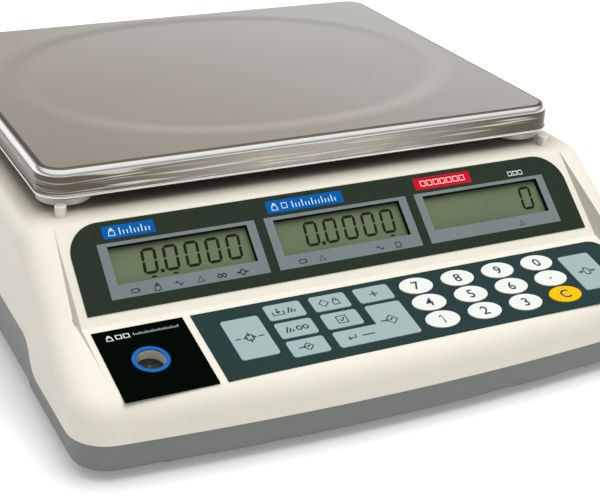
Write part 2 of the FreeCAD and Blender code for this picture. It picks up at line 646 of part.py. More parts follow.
def base():
    """Grey tray: floor, wall, inner lip, finger grips, foot pockets, screw and board bosses."""
    toe = mm("base_clearance")
    outside, tray, lip = tray_walls()
    pocket = mm("foot_diameter") + 2 * mm("foot_pocket_clearance")
    added = [lip]
    for sign in (-1, 1):
        added.append(grip_roof(sign).common(outside))
    for x, y in FOOT_PLACES.values():
        wide = pocket + 2 * mm("foot_boss_wall")
        added.append(pin(wide, toe, FOOT_CEILING + mm("foot_boss_wall"), x, y).common(outside))
        added.append(pin(INSERT_DIAMETER + 2 * mm("foot_boss_wall"), FOOT_CEILING,
                         mm("stud_height") + mm("screw_end_gap"), x, y))
    for x, y in SCREW_PLACES:
        added.append(pin(mm("post_diameter"), toe, mm("parting_front"), x, y).common(outside))
    for x, y in PLATE_POSTS:
        added.append(pin(mm("plate_boss_diameter"), toe, PLATE_BASE, x, y))
    for x, y in MAIN_POSTS:
        added.append(pin(SMALL_POST, toe, MAIN_BOARD_BASE, x, y))
    added.append(slab(BAY_LENGTH + 2 * mm("bay_wall"), BAY_WIDTH + 2 * mm("bay_wall"), toe,
                      FLOOR_TOP + mm("bay_height"), *BATTERY_SPOT, Placement(), mm("door_corner") + mm("bay_wall")))
    block_size = mm("ear_width") + 2 * mm("ear_wall")
    for x, y in EAR_PLACES:
        added.append(slab(block_size, block_size, toe, FLOOR_TOP + mm("ear_boss_height"), x, y, Placement(), 1))
    tray = tray.fuse(added)

    removed = [grip_room(-1), grip_room(1), port_recess()] + port_holes()
    for x, y in FOOT_PLACES.values():
        removed.append(pin(pocket, toe - 1, FOOT_CEILING, x, y))
        removed.append(pin(INSERT_DIAMETER, FOOT_CEILING - 1, FOOT_CEILING + mm("insert_height"), x, y))
        removed.append(pin(mm("stud_diameter") + 1, FOOT_CEILING, mm("stud_height") + 2, x, y))
    for x, y in SCREW_PLACES:
        removed.append(pin(mm("screw_head_diameter") + 0.6, toe - 1, toe + mm("counterbore_depth"), x, y))
        removed.append(pin(mm("screw_diameter") + 2 * mm("screw_fit"), toe, mm("parting_front") + 1, x, y))
    small = mm("small_screw_diameter") + 2 * mm("screw_fit")
    for x, y in PLATE_POSTS:
        removed.append(pin(small, RISER_BASE - mm("plate_screw_length") - mm("screw_end_gap"), PLATE_BASE + 1, x, y))
    for x, y in MAIN_POSTS:
        removed.append(pin(small, FLOOR_TOP, MAIN_BOARD_BASE + 1, x, y))
    removed.append(slab(BAY_LENGTH, BAY_WIDTH, FLOOR_TOP, FLOOR_TOP + mm("bay_height") + 1, *BATTERY_SPOT,
                        Placement(), mm("door_corner")))
    removed.append(door_outline(mm("door_gap"), toe - 1, FLOOR_TOP))
    for x, y in EAR_PLACES:
        removed.append(pin(small, toe, toe + mm("ear_counterbore") + mm("small_screw_length") + mm("screw_end_gap"), x,
                           y))
    node("base_housing", shaped("base_housing", tray.cut(removed).removeSplitter()))


def battery():
    x, y = BATTERY_SPOT
    case = block("BatteryCase", "battery_length", "battery_width", "battery_height", x, y, FLOOR_TOP)
    node("battery", rounded("battery", case, 1.5, upright))
    toe = mm("base_clearance")
    door = door_outline(0, toe, FLOOR_TOP)
    small = mm("small_screw_diameter") + 2 * mm("screw_fit")
    holes = [pin(mm("small_screw_head") + 0.5, toe - 1, toe + mm("ear_counterbore"), x, y) for x, y in EAR_PLACES]
    holes += [pin(small, toe, FLOOR_TOP + 1, x, y) for x, y in EAR_PLACES]
    node("battery_door", shaped("battery_door", door.cut(holes)))


def screw(name, diameter, length, head, head_height, x, y, z, frame=Placement(), upward=False):
    """A round-headed screw; z is where the underside of its head bears."""
    direction = 1 if upward else -1
    shank = rod(name + "Shank", diameter, length, x, y, z if upward else z, frame,
                Rotation() if upward else Rotation(Vector(1, 0, 0), 180))
    cap = rod(name + "Head", head, head_height, x, y, z, frame,
              Rotation(Vector(1, 0, 0), 180) if upward else Rotation())
    return union(name, [shank, cap])


def cover_screws():
    seat = mm("base_clearance") + mm("counterbore_depth")
    screws = []
    for i, (x, y) in enumerate(SCREW_PLACES):
        screws.append(screw(f"CoverScrew{i}", "screw_diameter",
                            "parting_front - base_clearance - counterbore_depth + screw_grip - 1",
                            "screw_head_diameter", "screw_head_height", x, y, seat, upward=True))
    node("cover_screws", group("cover_screws", screws))


def plate_screws():
    screws = [screw(f"PlateScrew{i}", "small_screw_diameter", "plate_screw_length", "small_screw_head",
                    "small_screw_head_height", x, y, RISER_BASE) for i, (x, y) in enumerate(PLATE_POSTS)]
    node("plate_screws", group("plate_screws", screws))


def small_screws():
    """Identical screws: four in each circuit board and two in the battery door."""
    places = [(x, y, MAIN_BOARD_BASE + mm("board_thickness"), Placement(), False) for x, y in MAIN_POSTS]
    places += [(x, y, mm("base_clearance") + mm("ear_counterbore"), Placement(), True) for x, y in EAR_PLACES]
    places += [(x, y, DISPLAY_BOARD_TOP - mm("board_thickness"), DISPLAY, True) for x, y in DISPLAY_POSTS]
    places += [(x, y, KEYPAD_BOARD_TOP - mm("board_thickness"), KEYPAD, True) for x, y in KEYPAD_POSTS]
    screws = []
    for i, (x, y, z, frame, upward) in enumerate(places):
        screws.append(screw(f"SmallScrew{i}", "small_screw_diameter", "small_screw_length", "small_screw_head",
                            "small_screw_head_height", x, y, z, frame, upward))
    node("small_screws", group("small_screws", screws))


# ---------------------------------------------------------------- levelling feet
def feet():
    """Moulded knobs with a stud, which screw into brass inserts in the base."""
    ceiling = mm("foot_height") + mm("foot_lift")
    inserts = []
    for place, (x, y) in FOOT_PLACES.items():
        knob = rod("Knob_" + place, "foot_diameter", "foot_height", x, y, 0)
        stud = rod("Stud_" + place, "stud_diameter", "stud_height", x, y, 0)
        DOC.recompute()
        soft = rounded("KnobEdge_" + place, knob, mm("foot_round"), lambda edge: isinstance(edge.Curve, Part.Circle))
        grooves = []
        count = int(mm("foot_grooves"))
        for i in range(count):
            turn = 2 * math.pi * i / count
            radius = (mm("foot_diameter") + mm("foot_groove")) / 2 - mm("foot_groove_depth")
            grooves.append(rod(f"Groove{i}_" + place, "foot_groove", "foot_height", x + radius * math.cos(turn),
                               y + radius * math.sin(turn), mm("foot_groove_start")))
        grip = cut("KnobGrip_" + place, soft, union("Grooves_" + place, grooves))
        node("foot_" + place, union("foot_" + place, [grip, stud]))
        sleeve = rod("InsertOuter_" + place, "stud_diameter + 2 * insert_wall", "insert_height", x, y, ceiling)
        bore = rod("InsertBore_" + place, "stud_diameter + 2 * stud_fit", "insert_height + 2", x, y, ceiling - 1)
        inserts.append(cut("Insert_" + place, sleeve, bore))
    node("foot_inserts", group("foot_inserts", inserts))


# ---------------------------------------------------------------- load cell and pan
def load_cell():
    """A drilled aluminium beam: fixed at its left end, carrying the pan at its right end."""
    body = DOC.addObject("PartDesign::Body", "load_cell")
    planes = {plane.Role: plane for plane in body.Origin.OriginFeatures}

    def sketch(name):
        made = body.newObject("Sketcher::SketchObject", name)
        made.AttachmentSupport = [(planes["XZ_Plane"], "")]
        made.MapMode = "FlatFace"
        return made

    def centred_rectangle(target, width, height):
        corners = [Vector(-10, -5, 0), Vector(10, -5, 0), Vector(10, 5, 0), Vector(-10, 5, 0)]
        for i in range(4):
            target.addGeometry(Part.LineSegment(corners[i], corners[(i + 1) % 4]), False)
        for i in range(4):
            target.addConstraint(Sketcher.Constraint("Coincident", i, 2, (i + 1) % 4, 1))
        for kind, line in (("Horizontal", 0), ("Horizontal", 2), ("Vertical", 1), ("Vertical", 3)):
            target.addConstraint(Sketcher.Constraint(kind, line))
        target.addConstraint(Sketcher.Constraint("Symmetric", 0, 1, 1, 2, -1, 1))
        for kind, line, size in (("DistanceX", 0, width), ("DistanceY", 1, height)):
            index = target.addConstraint(Sketcher.Constraint(kind, line, 1, line, 2, 10))
            target.setExpression(f"Constraints[{index}]", formula(size))

    beam = sketch("BeamOutline")
    centred_rectangle(beam, "cell_length", "cell_height")
    pad = body.newObject("PartDesign::Pad", "Beam")
    pad.Profile = beam
    pad.setExpression("Length", formula("cell_width"))
    pad.SideType = "Symmetric"

    eyes = sketch("Eyes")
    for sign in (-1, 1):
        index = eyes.addGeometry(Part.Circle(Vector(sign * 20, 0, 0), UP, 8), False)
        eyes.addConstraint(Sketcher.Constraint("PointOnObject", index, 3, -1))
        width = eyes.addConstraint(Sketcher.Constraint("Radius", index, 8))
        eyes.setExpression(f"Constraints[{width}]", formula("cell_eye / 2"))
        ends = (-1, 1, index, 3) if sign > 0 else (index, 3, -1, 1)
        reach = eyes.addConstraint(Sketcher.Constraint("DistanceX", *ends, 20))
        eyes.setExpression(f"Constraints[{reach}]", formula("cell_eye_spacing / 2"))
    drill = body.newObject("PartDesign::Pocket", "DrilledEyes")
    drill.Profile = eyes
    drill.Type = "ThroughAll"
    drill.Midplane = True

    neck = sketch("Neck")
    centred_rectangle(neck, "cell_eye_spacing", "cell_slot")
    slot = body.newObject("PartDesign::Pocket", "Slot")
    slot.Profile = neck
    slot.Type = "ThroughAll"
    slot.Midplane = True

    holes = body.newObject("Sketcher::SketchObject", "BoltHoles")
    holes.AttachmentSupport = [(planes["XY_Plane"], "")]
    holes.MapMode = "FlatFace"
    for sx in (-1, 1):
        for sy in (-1, 1):
            index = holes.addGeometry(Part.Circle(Vector(sx * 50, sy * 10, 0), UP, 3), False)
            radius = holes.addConstraint(Sketcher.Constraint("Radius", index, 3))
            holes.setExpression(f"Constraints[{radius}]", formula("bolt_diameter / 2 + bolt_fit"))
            for kind, sign, size in (("DistanceX", sx, "(cell_length - riser_length) / 2"),
                                     ("DistanceY", sy, "bolt_pitch / 2")):
                ends = (-1, 1, index, 3) if sign > 0 else (index, 3, -1, 1)
                place = holes.addConstraint(Sketcher.Constraint(kind, *ends, 10))
                holes.setExpression(f"Constraints[{place}]", formula(size))
    bores = body.newObject("PartDesign::Pocket", "BoltBores")
    bores.Profile = holes
    bores.Type = "ThroughAll"
    bores.Midplane = True
    body.Tip = bores
    DOC.recompute()
    at(body, 0, PAN_Y, CELL_BASE + mm("cell_height") / 2)
    node("load_cell", body)


def cell_mounts():
    """Chassis plate and riser under the fixed end, with the bolts that pull them together."""
    places = [(-CELL_END, PAN_Y + sy * mm("bolt_pitch") / 2) for sy in (-1, 1)]
    plate = block("ChassisPlate", "plate_length", "plate_width", "plate_thickness", 0, PAN_Y, PLATE_BASE)
    drills = [rod(f"PlateBolt{i}", "bolt_diameter + 2 * bolt_fit", "plate_thickness + 2", x, y, PLATE_BASE - 1)
              for i, (x, y) in enumerate(places)]
    drills += [rod(f"PlateDrill{i}", "small_screw_diameter + 2 * screw_fit", "plate_thickness + 2", x, y,
                   PLATE_BASE - 1) for i, (x, y) in enumerate(PLATE_POSTS)]
    node("chassis_plate", cut("chassis_plate", rounded("PlateCorners", plate, 5, upright),
                              union("PlateDrills", drills)))
    riser = block("RiserBlock", "riser_length", "cell_width", "riser_height", -CELL_END, PAN_Y, RISER_BASE)
    bores = [rod(f"RiserBolt{i}", "bolt_diameter + 2 * bolt_fit", "riser_height + 2", x, y, RISER_BASE - 1)
             for i, (x, y) in enumerate(places)]
    node("load_cell_riser", cut("load_cell_riser", riser, union("RiserBores", bores)))
    bolts = [screw(f"CellBolt{i}", "bolt_diameter", "plate_thickness + riser_height + bolt_engage",
                   "bolt_head_diameter", "bolt_head_height", x, y, PLATE_BASE, upward=True)
             for i, (x, y) in enumerate(places)]
    node("load_cell_bolts", group("load_cell_bolts", bolts))


def corners():
    return [(sx * mm("support_across"), PAN_Y + sy * mm("support_reach")) for sx in (-1, 1) for sy in (-1, 1)]


def platform():
    """Cast cross that carries the pan on four pads, standing on the live end of the load cell."""
    places = [(CELL_END, PAN_Y + sy * mm("bolt_pitch") / 2) for sy in (-1, 1)]
    spacer = block("SpacerBlock", "riser_length", "cell_width",
                   "support_base - riser_height - cell_height - plate_thickness - plate_gap - base_floor"
                   " - base_clearance", CELL_END, PAN_Y, CELL_TOP)
    bores = [rod(f"SpacerBolt{i}", "bolt_diameter + 2 * bolt_fit", "support_base", x, y, CELL_TOP - 1)
             for i, (x, y) in enumerate(places)]
    node("platform_spacer", cut("platform_spacer", spacer, union("SpacerBores", bores)))

    hub = block("Hub", "hub_length", "hub_width", "hub_thickness", 0, PAN_Y, mm("support_base"))
    pieces = [rounded("HubCorners", hub, 12, upright)]
    reach = math.hypot(mm("support_across"), mm("support_reach"))
    turn = math.degrees(math.atan2(mm("support_reach"), mm("support_across")))
    middle = Placement(Vector(0, PAN_Y, 0), Rotation())
    for i, angle in enumerate((turn, 180 - turn, 180 + turn, -turn)):
        arm = bound("Part::Box", f"Arm{i}", Width="arm_width", Height="arm_thickness")
        arm.Length = reach
        rib = bound("Part::Box", f"Rib{i}", Width="rib_width", Height="pan_top - pan_sheet - pad_thickness - support_base")
        rib.Length = reach
        facing = middle.multiply(Placement(Vector(), Rotation(UP, angle)))
        at(arm, 0, -mm("arm_width") / 2, mm("support_base"), facing)
        at(rib, 0, -mm("rib_width") / 2, mm("support_base"), facing)
        pieces += [arm, rib]
    for i, (x, y) in enumerate(corners()):
        pieces.append(rod(f"Boss{i}", "boss_diameter", "pan_top - pan_sheet - pad_thickness - support_base", x, y,
                          mm("support_base")))
    holes = [rod(f"HubBolt{i}", "bolt_diameter + 2 * bolt_fit", "hub_thickness + 20", x, y, mm("support_base") - 1)
             for i, (x, y) in enumerate(places)]
    seats = [rod(f"HubSeat{i}", "bolt_head_diameter + 2", "20", x, y, mm("support_base") + mm("hub_thickness"))
             for i, (x, y) in enumerate(places)]
    node("pan_support", cut("pan_support", union("Cross", pieces), union("HubHoles", holes + seats)))

    bolts = [screw(f"PlatformBolt{i}", "bolt_diameter",
                   "hub_thickness + support_base - riser_height - cell_height - plate_thickness - plate_gap"
                   " - base_floor - base_clearance + bolt_engage",
                   "bolt_head_diameter", "bolt_head_height", x, y, mm("support_base") + mm("hub_thickness"))
             for i, (x, y) in enumerate(places)]
    node("platform_bolts", group("platform_bolts", bolts))
    pads = [rod(f"Pad{i}", "pad_diameter", "pad_thickness", x, y, BOSS_TOP) for i, (x, y) in enumerate(corners())]
    node("pan_pads", group("pan_pads", pads))
    cups = []
    for i, (x, y) in enumerate(corners()):
        disc = rod(f"CupDisc{i}", "cup_diameter", "cup_thickness", x, y, CUP_BASE)
        cups.append(rounded(f"Cup{i}", disc, 1, lambda edge: isinstance(edge.Curve, Part.Circle)
                            and edge.BoundBox.ZMax < CUP_BASE + 0.1))
    node("support_cups", group("support_cups", cups))


def pan():
    """Pressed stainless pan: flat top, rolled rim, skirt with a folded hem."""
    radius = mm("pan_corner_radius")
    sheet = mm("pan_sheet")
    rim = mm("pan_rim_radius")

    def dish(name, shrink, drop, low):
        solid = block(name + "Block", f"pan_width - 2 * {shrink}", f"pan_depth - 2 * {shrink}",
                      f"pan_height - {drop} + {low}", 0, PAN_Y, PAN_SKIRT - low)
        inset = mm("pan_sheet") if drop != "0" else 0
        sides = rounded(name + "Sides", solid, radius - inset, upright)
        top = PAN_SKIRT + mm("pan_height") - inset
        return rounded(name, sides, rim - inset, lambda edge: edge.BoundBox.ZMin > top - 0.01)

    skin = dish("PanOutside", "0", "0", 0)
    hollow = dish("PanInside", "pan_sheet", "pan_sheet", 1)
    hem_block = block("HemBlock", "pan_width + 2 * pan_hem", "pan_depth + 2 * pan_hem", "pan_hem_height", 0, PAN_Y,
                      PAN_SKIRT)
    hem_sides = rounded("HemSides", hem_block, radius + mm("pan_hem"), upright)
    hem = rounded("Hem", hem_sides, mm("pan_hem") * 0.9, lambda edge: abs(edge.BoundBox.ZLength) < 0.01)
    node("weighing_pan", cut("weighing_pan", union("PanBody", [skin, hem]), hollow))


# ---------------------------------------------------------------- films, displays and boards
def films():
    """Printed films, the display frames and the badge."""
    thick = mm("film")
    middle = DISPLAY_FILM - mm("display_film_length") / 2
    sheet = block("DisplaySheet", "display_film_width", "display_film_length", "film", 0, middle, -thick, DISPLAY)
    top = DISPLAY.multVec(Vector(0, middle, 0))
    uphill = DISPLAY.Rotation.multVec(Vector(0, 1, 0))
    corners_up = rounded("DisplaySheetCorners", sheet, mm("display_film_corner"),
                         lambda edge: upright(edge, DISPLAY) and (edge.CenterOfMass - top).dot(uphill) > 0)
    gap = mm("frame_gap")
    holes = [block(f"FrameHole{i}", "frame_width", "frame_length", "film + 2", x, y, -thick - 1, DISPLAY)
             for i, (x, y) in enumerate(frame_spots())]
    node("display_film", cut("display_film", corners_up, union("FrameHoles", holes)))

    frames = []
    for i, (x, y) in enumerate(frame_spots()):
        plate = block(f"Frame{i}", "frame_width - 2 * frame_gap", "frame_length - 2 * frame_gap", "film", x, y, -thick,
                      DISPLAY)
        collar = block(f"Collar{i}", "window_width + 2 * collar_wall", "window_length + 2 * collar_wall", "cover_wall",
                       x, window_middle(y), WALL_UNDERSIDE, DISPLAY)
        opening = block(f"Window{i}", "window_width", "window_length", "cover_wall + film + 2", x, window_middle(y),
                        WALL_UNDERSIDE - 1, DISPLAY)
        frames.append(cut(f"DisplayFrame{i}", union(f"FrameBody{i}", [plate, collar]), opening))
    node("display_frames", group("display_frames", frames))

    for side, (x, y) in zip(("left", "middle", "right"), frame_spots()):
        node("lcd_" + side, block("lcd_" + side, "window_width + 2 * lcd_margin", "window_length + 2 * lcd_margin",
                                  "lcd_thickness", x, window_middle(y), DISPLAY_BOARD_TOP, DISPLAY))

    width = mm("keypad_film_left") + mm("keypad_film_right")
    x = (mm("keypad_film_right") - mm("keypad_film_left")) / 2
    y = KEYPAD_FILM - mm("keypad_film_length") / 2
    sheet = block("KeypadSheet", "keypad_film_left + keypad_film_right", "keypad_film_length", "film", x, y, -thick,
                  KEYPAD)
    soft = rounded("KeypadSheetCorners", sheet, mm("keypad_film_corner"),
                   lambda edge: upright(edge, KEYPAD) and edge.CenterOfMass.x > x)
    openings = [key_prism(spots, mm("key_gap"), -thick - 1, 1) for spots in key_spots().values()]
    tools = shaped("KeyHoles", Part.makeCompound(openings))
    node("keypad_film", cut("keypad_film", soft, tools))

    x = -mm("badge_left") + mm("badge_width") / 2
    sheet = block("BadgeSheet", "badge_width", "keypad_film_length", "film", x, y, -thick, KEYPAD)
    hole = rod("BadgeHole", "level_ring + 2 * frame_gap", "film + 2", *LEVEL_SPOT, -thick - 1, KEYPAD)
    node("level_badge", cut("level_badge", sheet, hole))
    ring = rod("RingDisc", "level_ring", "film + 0.3", *LEVEL_SPOT, -thick, KEYPAD)
    bore = rod("RingBore", "level_hole", "film + 3", *LEVEL_SPOT, -thick - 1, KEYPAD)
    node("level_ring", cut("level_ring", ring, bore))
    cup = rod("LevelCup", "level_ring + level_wall", "level_height", *LEVEL_SPOT, -mm("level_depth") - mm("level_height"),
              KEYPAD)
    seat = rod("LevelSeat", "level_window + 0.1", "level_window_thickness + 1", *LEVEL_SPOT,
               -mm("level_depth") - mm("level_window_thickness"), KEYPAD)
    node("level_housing", cut("level_housing", cup, seat))
    node("level_window", rod("level_window", "level_window", "level_window_thickness", *LEVEL_SPOT,
                             -mm("level_depth") - mm("level_window_thickness"), KEYPAD))


def drilled_board(name, width, length, x, y, z, frame, posts):
    """A circuit board with its corner holes."""
    sheet = block(name + "Sheet", width, length, "board_thickness", x, y, z, frame)
    drills = [rod(f"{name}Drill{i}", "small_screw_diameter + 2 * screw_fit", "board_thickness + 2", px, py, z - 1,
                  frame) for i, (px, py) in enumerate(posts)]
    node(name, cut(name, sheet, union(name + "Drills", drills)))


def boards():
    thick = mm("board_thickness")
    drilled_board("display_board", "display_board_width", "display_board_length", 0, DISPLAY_BOARD_Y,
                  DISPLAY_BOARD_TOP - thick, DISPLAY, DISPLAY_POSTS)
    drilled_board("keypad_board", "tall_key_left + tall_key_right + square_key_width + 4 * keypad_board_margin",
                  "tall_key_length + 4 * keypad_board_margin", *KEYPAD_MIDDLE, KEYPAD_BOARD_TOP - thick, KEYPAD,
                  KEYPAD_POSTS)
    drilled_board("main_board", "main_board_length", "main_board_width", *MAIN_SPOT, MAIN_BOARD_BASE, Placement(),
                  MAIN_POSTS)


# ---------------------------------------------------------------- switch and power socket
def switch():
    x = mm("switch_across")
    z = mm("port_height")
    gap = mm("rocker_gap")
    wall = mm("switch_wall")
    width, height = mm("switch_width"), mm("switch_height")
    flange = mm("switch_flange")
    face = PORT_FACE + mm("switch_flange_thickness")

    def upright_box(half_x, half_z, front, back):
        return Part.makeBox(2 * half_x, back - front, 2 * half_z, Vector(x - half_x, front, z - half_z))

    shell = upright_box(width / 2, height / 2, PORT_FACE - mm("switch_depth"), PORT_FACE).fuse(
        upright_box(width / 2 + flange, height / 2 + flange, PORT_FACE, face))
    well = upright_box(width / 2 - wall, height / 2 - wall, face - mm("rocker_depth"), face + 1)
    node("switch_frame", shaped("switch_frame", shell.cut(well).removeSplitter()))

    half_x = width / 2 - wall - gap
    half_z = height / 2 - wall - gap
    # two faces meet in a shallow hollow over the pivot, and the back runs to a blunt tail
    proud = mm("rocker_proud") + mm("rocker_sink")
    hollow = proud - half_z * math.tan(math.radians(mm("rocker_tilt")))
    tail = mm("rocker_tail")
    outline = [(proud, half_z), (hollow, 0), (proud, -half_z), (0, -half_z), (-tail, -half_z / 3), (-tail, half_z / 3),
               (0, half_z)]
    corners = [Vector(-half_x, y, z) for y, z in outline]
    side = Part.Face(Part.makePolygon(corners + corners[:1]))
    made = shaped("power_rocker", side.extrude(Vector(2 * half_x, 0, 0)))
    made.Placement = Placement(Vector(x, face - mm("rocker_sink"), z), Rotation(Vector(1, 0, 0), mm("rocker_tilt")))
    node("power_rocker", made)


def socket():
    x = mm("socket_across")
    z = mm("port_height")
    inward = Rotation(Vector(1, 0, 0), 90)
    face = PORT_FACE + mm("socket_flange_thickness")
    flange = rod("SocketFlange", "socket_flange", "socket_flange_thickness", x, face, z, turn=inward)
    barrel = rod("SocketBarrel", "socket_diameter", "socket_length", x, PORT_FACE, z, turn=inward)
    hole = rod("SocketHole", "socket_hole", "socket_hole_depth", x, face + 0.01, z, turn=inward)
    contact = rod("SocketPin", "socket_pin", "socket_hole_depth", x, face - 1, z, turn=inward)
    shell = cut("SocketShell", union("SocketBody", [flange, barrel]), hole)
    node("power_socket", union("power_socket", [shell, contact]))


base()
cover()
keys()
battery()
cover_screws()
plate_screws()
small_screws()
feet()
load_cell()
cell_mounts()
platform()
pan()
films()
boards()
switch()
socket()
DOC.recompute()

for made in DOC.Objects:
    if "Invalid" in made.State or "Error" in made.State:
        raise SystemExit(made.Name + " failed: " + str(made.State))
for name, made in NODES.items():
    shape = made.Shape
    if shape.isNull() or not shape.isValid() or not shape.Solids:
        raise SystemExit(name + " has no valid shape")
os.makedirs("parts", exist_ok=True)
for name, made in NODES.items():
    made.Shape.exportStep(os.path.join("parts", name + ".step"))
    print(name, len(made.Shape.Solids), round(made.Shape.Volume))
print(len(NODES), "nodes")
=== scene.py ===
import json
import math

import bpy
import bmesh
from mathutils import Matrix, Vector


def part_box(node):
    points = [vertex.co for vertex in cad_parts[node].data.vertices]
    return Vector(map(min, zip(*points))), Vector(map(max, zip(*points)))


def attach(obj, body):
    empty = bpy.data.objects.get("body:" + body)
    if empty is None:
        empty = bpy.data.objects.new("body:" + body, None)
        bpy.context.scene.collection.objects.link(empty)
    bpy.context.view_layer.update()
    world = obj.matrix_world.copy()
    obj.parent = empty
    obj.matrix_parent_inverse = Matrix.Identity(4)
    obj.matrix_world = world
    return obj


# Counting scale: finishes, printed legends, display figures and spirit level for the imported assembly.
# Lengths are in metres, colours are linear.

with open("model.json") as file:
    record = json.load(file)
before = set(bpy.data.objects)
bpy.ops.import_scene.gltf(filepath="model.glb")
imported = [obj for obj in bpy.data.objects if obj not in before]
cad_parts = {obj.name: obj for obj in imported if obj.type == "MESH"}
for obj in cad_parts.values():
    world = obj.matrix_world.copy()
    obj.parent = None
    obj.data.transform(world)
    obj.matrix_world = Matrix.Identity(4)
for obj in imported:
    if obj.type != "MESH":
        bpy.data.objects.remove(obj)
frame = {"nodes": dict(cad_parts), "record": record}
bpy.context.view_layer.update()
NODES = frame["nodes"]
BODY_OF = {node: body for body, members in frame["record"]["behaviour"]["bodies"].items() for node in members}


def rgb(red, green, blue):
    return (red, green, blue, 1.0)


# ---------------------------------------------------------------- sizes and tones

MM = 0.001
UP = Vector((0.0, 0.0, 1.0))
NUMBER, VECTOR = "NodeSocketFloat", "NodeSocketVector"

# reading a flat face off a part: how well a direction has to agree with it, and how even the face is
SAME_SIDE = 0.5
FLUSH = 0.999
FLAT_WITHIN = 0.05 * MM
# points nearer than this are one point
SAME_SPOT = 1e-6

# how finely round shapes are divided
CORNER_STEPS = 5
TURN_STEPS = 40

# shared effects: bands are the stretch of a noise or a direction over which an effect sets in
NOISE_BAND = (0.3, 0.7)
PIT_SHARE = 0.6
PIT_DEPTH = 0.7
DUST_BAND = (0.5, 0.8)
DRIFT_BAND = (0.35, 0.7)
DRIFT_LEAST = 0.3
UPWARD_BAND = (0.2, 1.0)
SMEAR_BAND = (0.4, 0.75)
EDGE_BAND = (0.97, 0.75)
RUB_BAND = (0.35, 0.65)
RUB_LEAST = 0.25

# plastics: how far the mottle swings about nought, and what each effect does to tone and roughness
MOTTLE_SWING = 0.3
MOTTLE_ROUGHNESS = 0.25
SMEAR_ROUGHNESS = 0.06
EDGE_POLISH = 0.12
DUST_TONE = rgb(0.55, 0.53, 0.48)

# metals and inks
LAY_SWING = 0.2
LAY_TONE = 0.24
CLOUD_TONE = 0.2
LAY_ROUGHNESS = 0.3
METAL_DARK = 0.88
METAL_LIGHT = 1.1
METAL_RUBBED = 1.25
METAL_WEAR = 0.4
METAL_POLISH = 0.1
INK_THIN = 0.9
INK_FULL = 1.08
INK_ROUGHNESS = 0.2
INK_TOOTH = 0.004 * MM

# weighing pan: the oval ridge, and the painted reflection that takes the satin's tone from its near left to
# its far right
RIDGE_HALF_WIDTH = 128 * MM
RIDGE_HALF_DEPTH = 104 * MM
RIDGE_POWER = 2.2
RIDGE_SHIFT = 4 * MM
RIDGE_SHARE = 0.1
RIDGE_RISE = 0.25 * MM
# painted light on the ridge's front and painted shade on its back
RIDGE_PAINTED_SHADE = 0.19
PAN_NEAR = rgb(0.55, 0.475, 0.39)
PAN_FAR = rgb(0.82, 0.81, 0.78)
SWEEP_ACROSS = 0.75
SWEEP_BACK = 0.3
SATIN_STREAK = 0.35
SATIN_CLOUD = 0.2
SATIN_RELIEF = 0.01

# weighing pan: how far a spot faces up, from the skirt over the rim and the fold line to the satin top, where
# painted reflections and a painted highlight are laid on
RIM_TILT = (0.22, 0.36)
FOLD_TILT = (0.86, 0.9)
SATIN_TILT = (0.996, 0.9995)
POLISH_ENDS = (0.9, 0.998)
FOLD_PAINTED_DARK_REFLECTION = rgb(0.2, 0.17, 0.13)
RIM_PAINTED_HIGHLIGHT = rgb(0.93, 0.92, 0.9)
# painted reflections on the skirt: dark and light streaks, lighter in the middle of the front and back
SKIRT_PAINTED_DARK_REFLECTION = rgb(0.1, 0.088, 0.068)
SKIRT_PAINTED_LIGHT_REFLECTION = rgb(0.56, 0.53, 0.47)
SKIRT_STREAKS = (14.0, 14.0, 620.0)
SKIRT_BAND = (0.55, 0.66)
SKIRT_MIDDLE = (30 * MM, 120 * MM)
SKIRT_MIDDLE_SHARE = 0.5
# band along the bottom edge that carries the painted highlight of the hem
HEM = (0.7 * MM, 1.2 * MM)
# plain roughness, and how much the streaks change it
POLISHED = (0.16, 0.1)
SATIN = (0.38, 0.12)

# display bezels, display glass, the level's window and liquid, circuit boards; each roughness is a range
BEZEL_DARK = rgb(0.165, 0.205, 0.21)
BEZEL_LIGHT = rgb(0.19, 0.235, 0.24)
WINDOW_BLACK = rgb(0.004, 0.004, 0.003)
FRONT_FACING = (0.6, 0.8)
BEZEL_ROUGHNESS = (0.5, 0.62)
OLIVE_DARK = rgb(0.115, 0.158, 0.085)
OLIVE_LIGHT = rgb(0.135, 0.182, 0.1)
OLIVE_SHIMMER = rgb(0.19, 0.22, 0.14)
SHIMMER = 0.1
DISPLAY_ROUGHNESS = (0.42, 0.5)
WINDOW_TINT = rgb(0.82, 0.88, 0.8)
WINDOW_CLEAR = rgb(0.95, 0.98, 0.94)
WINDOW_ROUGHNESS = (0.02, 0.07)
LIQUID_DEEP = rgb(0.38, 0.33, 0.25)
LIQUID_PALE = rgb(0.52, 0.46, 0.37)
LIQUID_DARK = rgb(0.012, 0.014, 0.008)
LIQUID_SHIFT = (0.5 * MM, 1.9 * MM, 0.0)
LIQUID_EDGE = (4.2 * MM, 5.4 * MM)
LIQUID_ROUGHNESS = (0.2, 0.35)
BOARD_GREEN = rgb(0.006, 0.075, 0.022)
BOARD_GREEN_PALE = rgb(0.008, 0.09, 0.028)
BOARD_TRACK = rgb(0.02, 0.16, 0.05)
BOARD_CLOUD = rgb(0.01, 0.05, 0.02)
CLOUDINESS = 0.2
BOARD_ROUGHNESS = (0.32, 0.5)

# cover: painted shade on its walls beside the sunk panels, by their distance from the middle times how far
# they face out, and painted shade on the deck that the pan covers, by its distance beside and behind the
# middle and how far it faces up
CREAM = rgb(0.83, 0.80, 0.70)
WALL_SHADE = 0.6
WALL_INWARD = (-0.09, -0.05)
# colour of the painted shade on the deck under the pan
DECK_PAINTED_SHADE = rgb(0.38, 0.355, 0.29)
DECK_BESIDE = (146 * MM, 168 * MM)
DECK_BEHIND = (-78 * MM, -58 * MM)
DECK_FLAT = (0.8, 0.95)

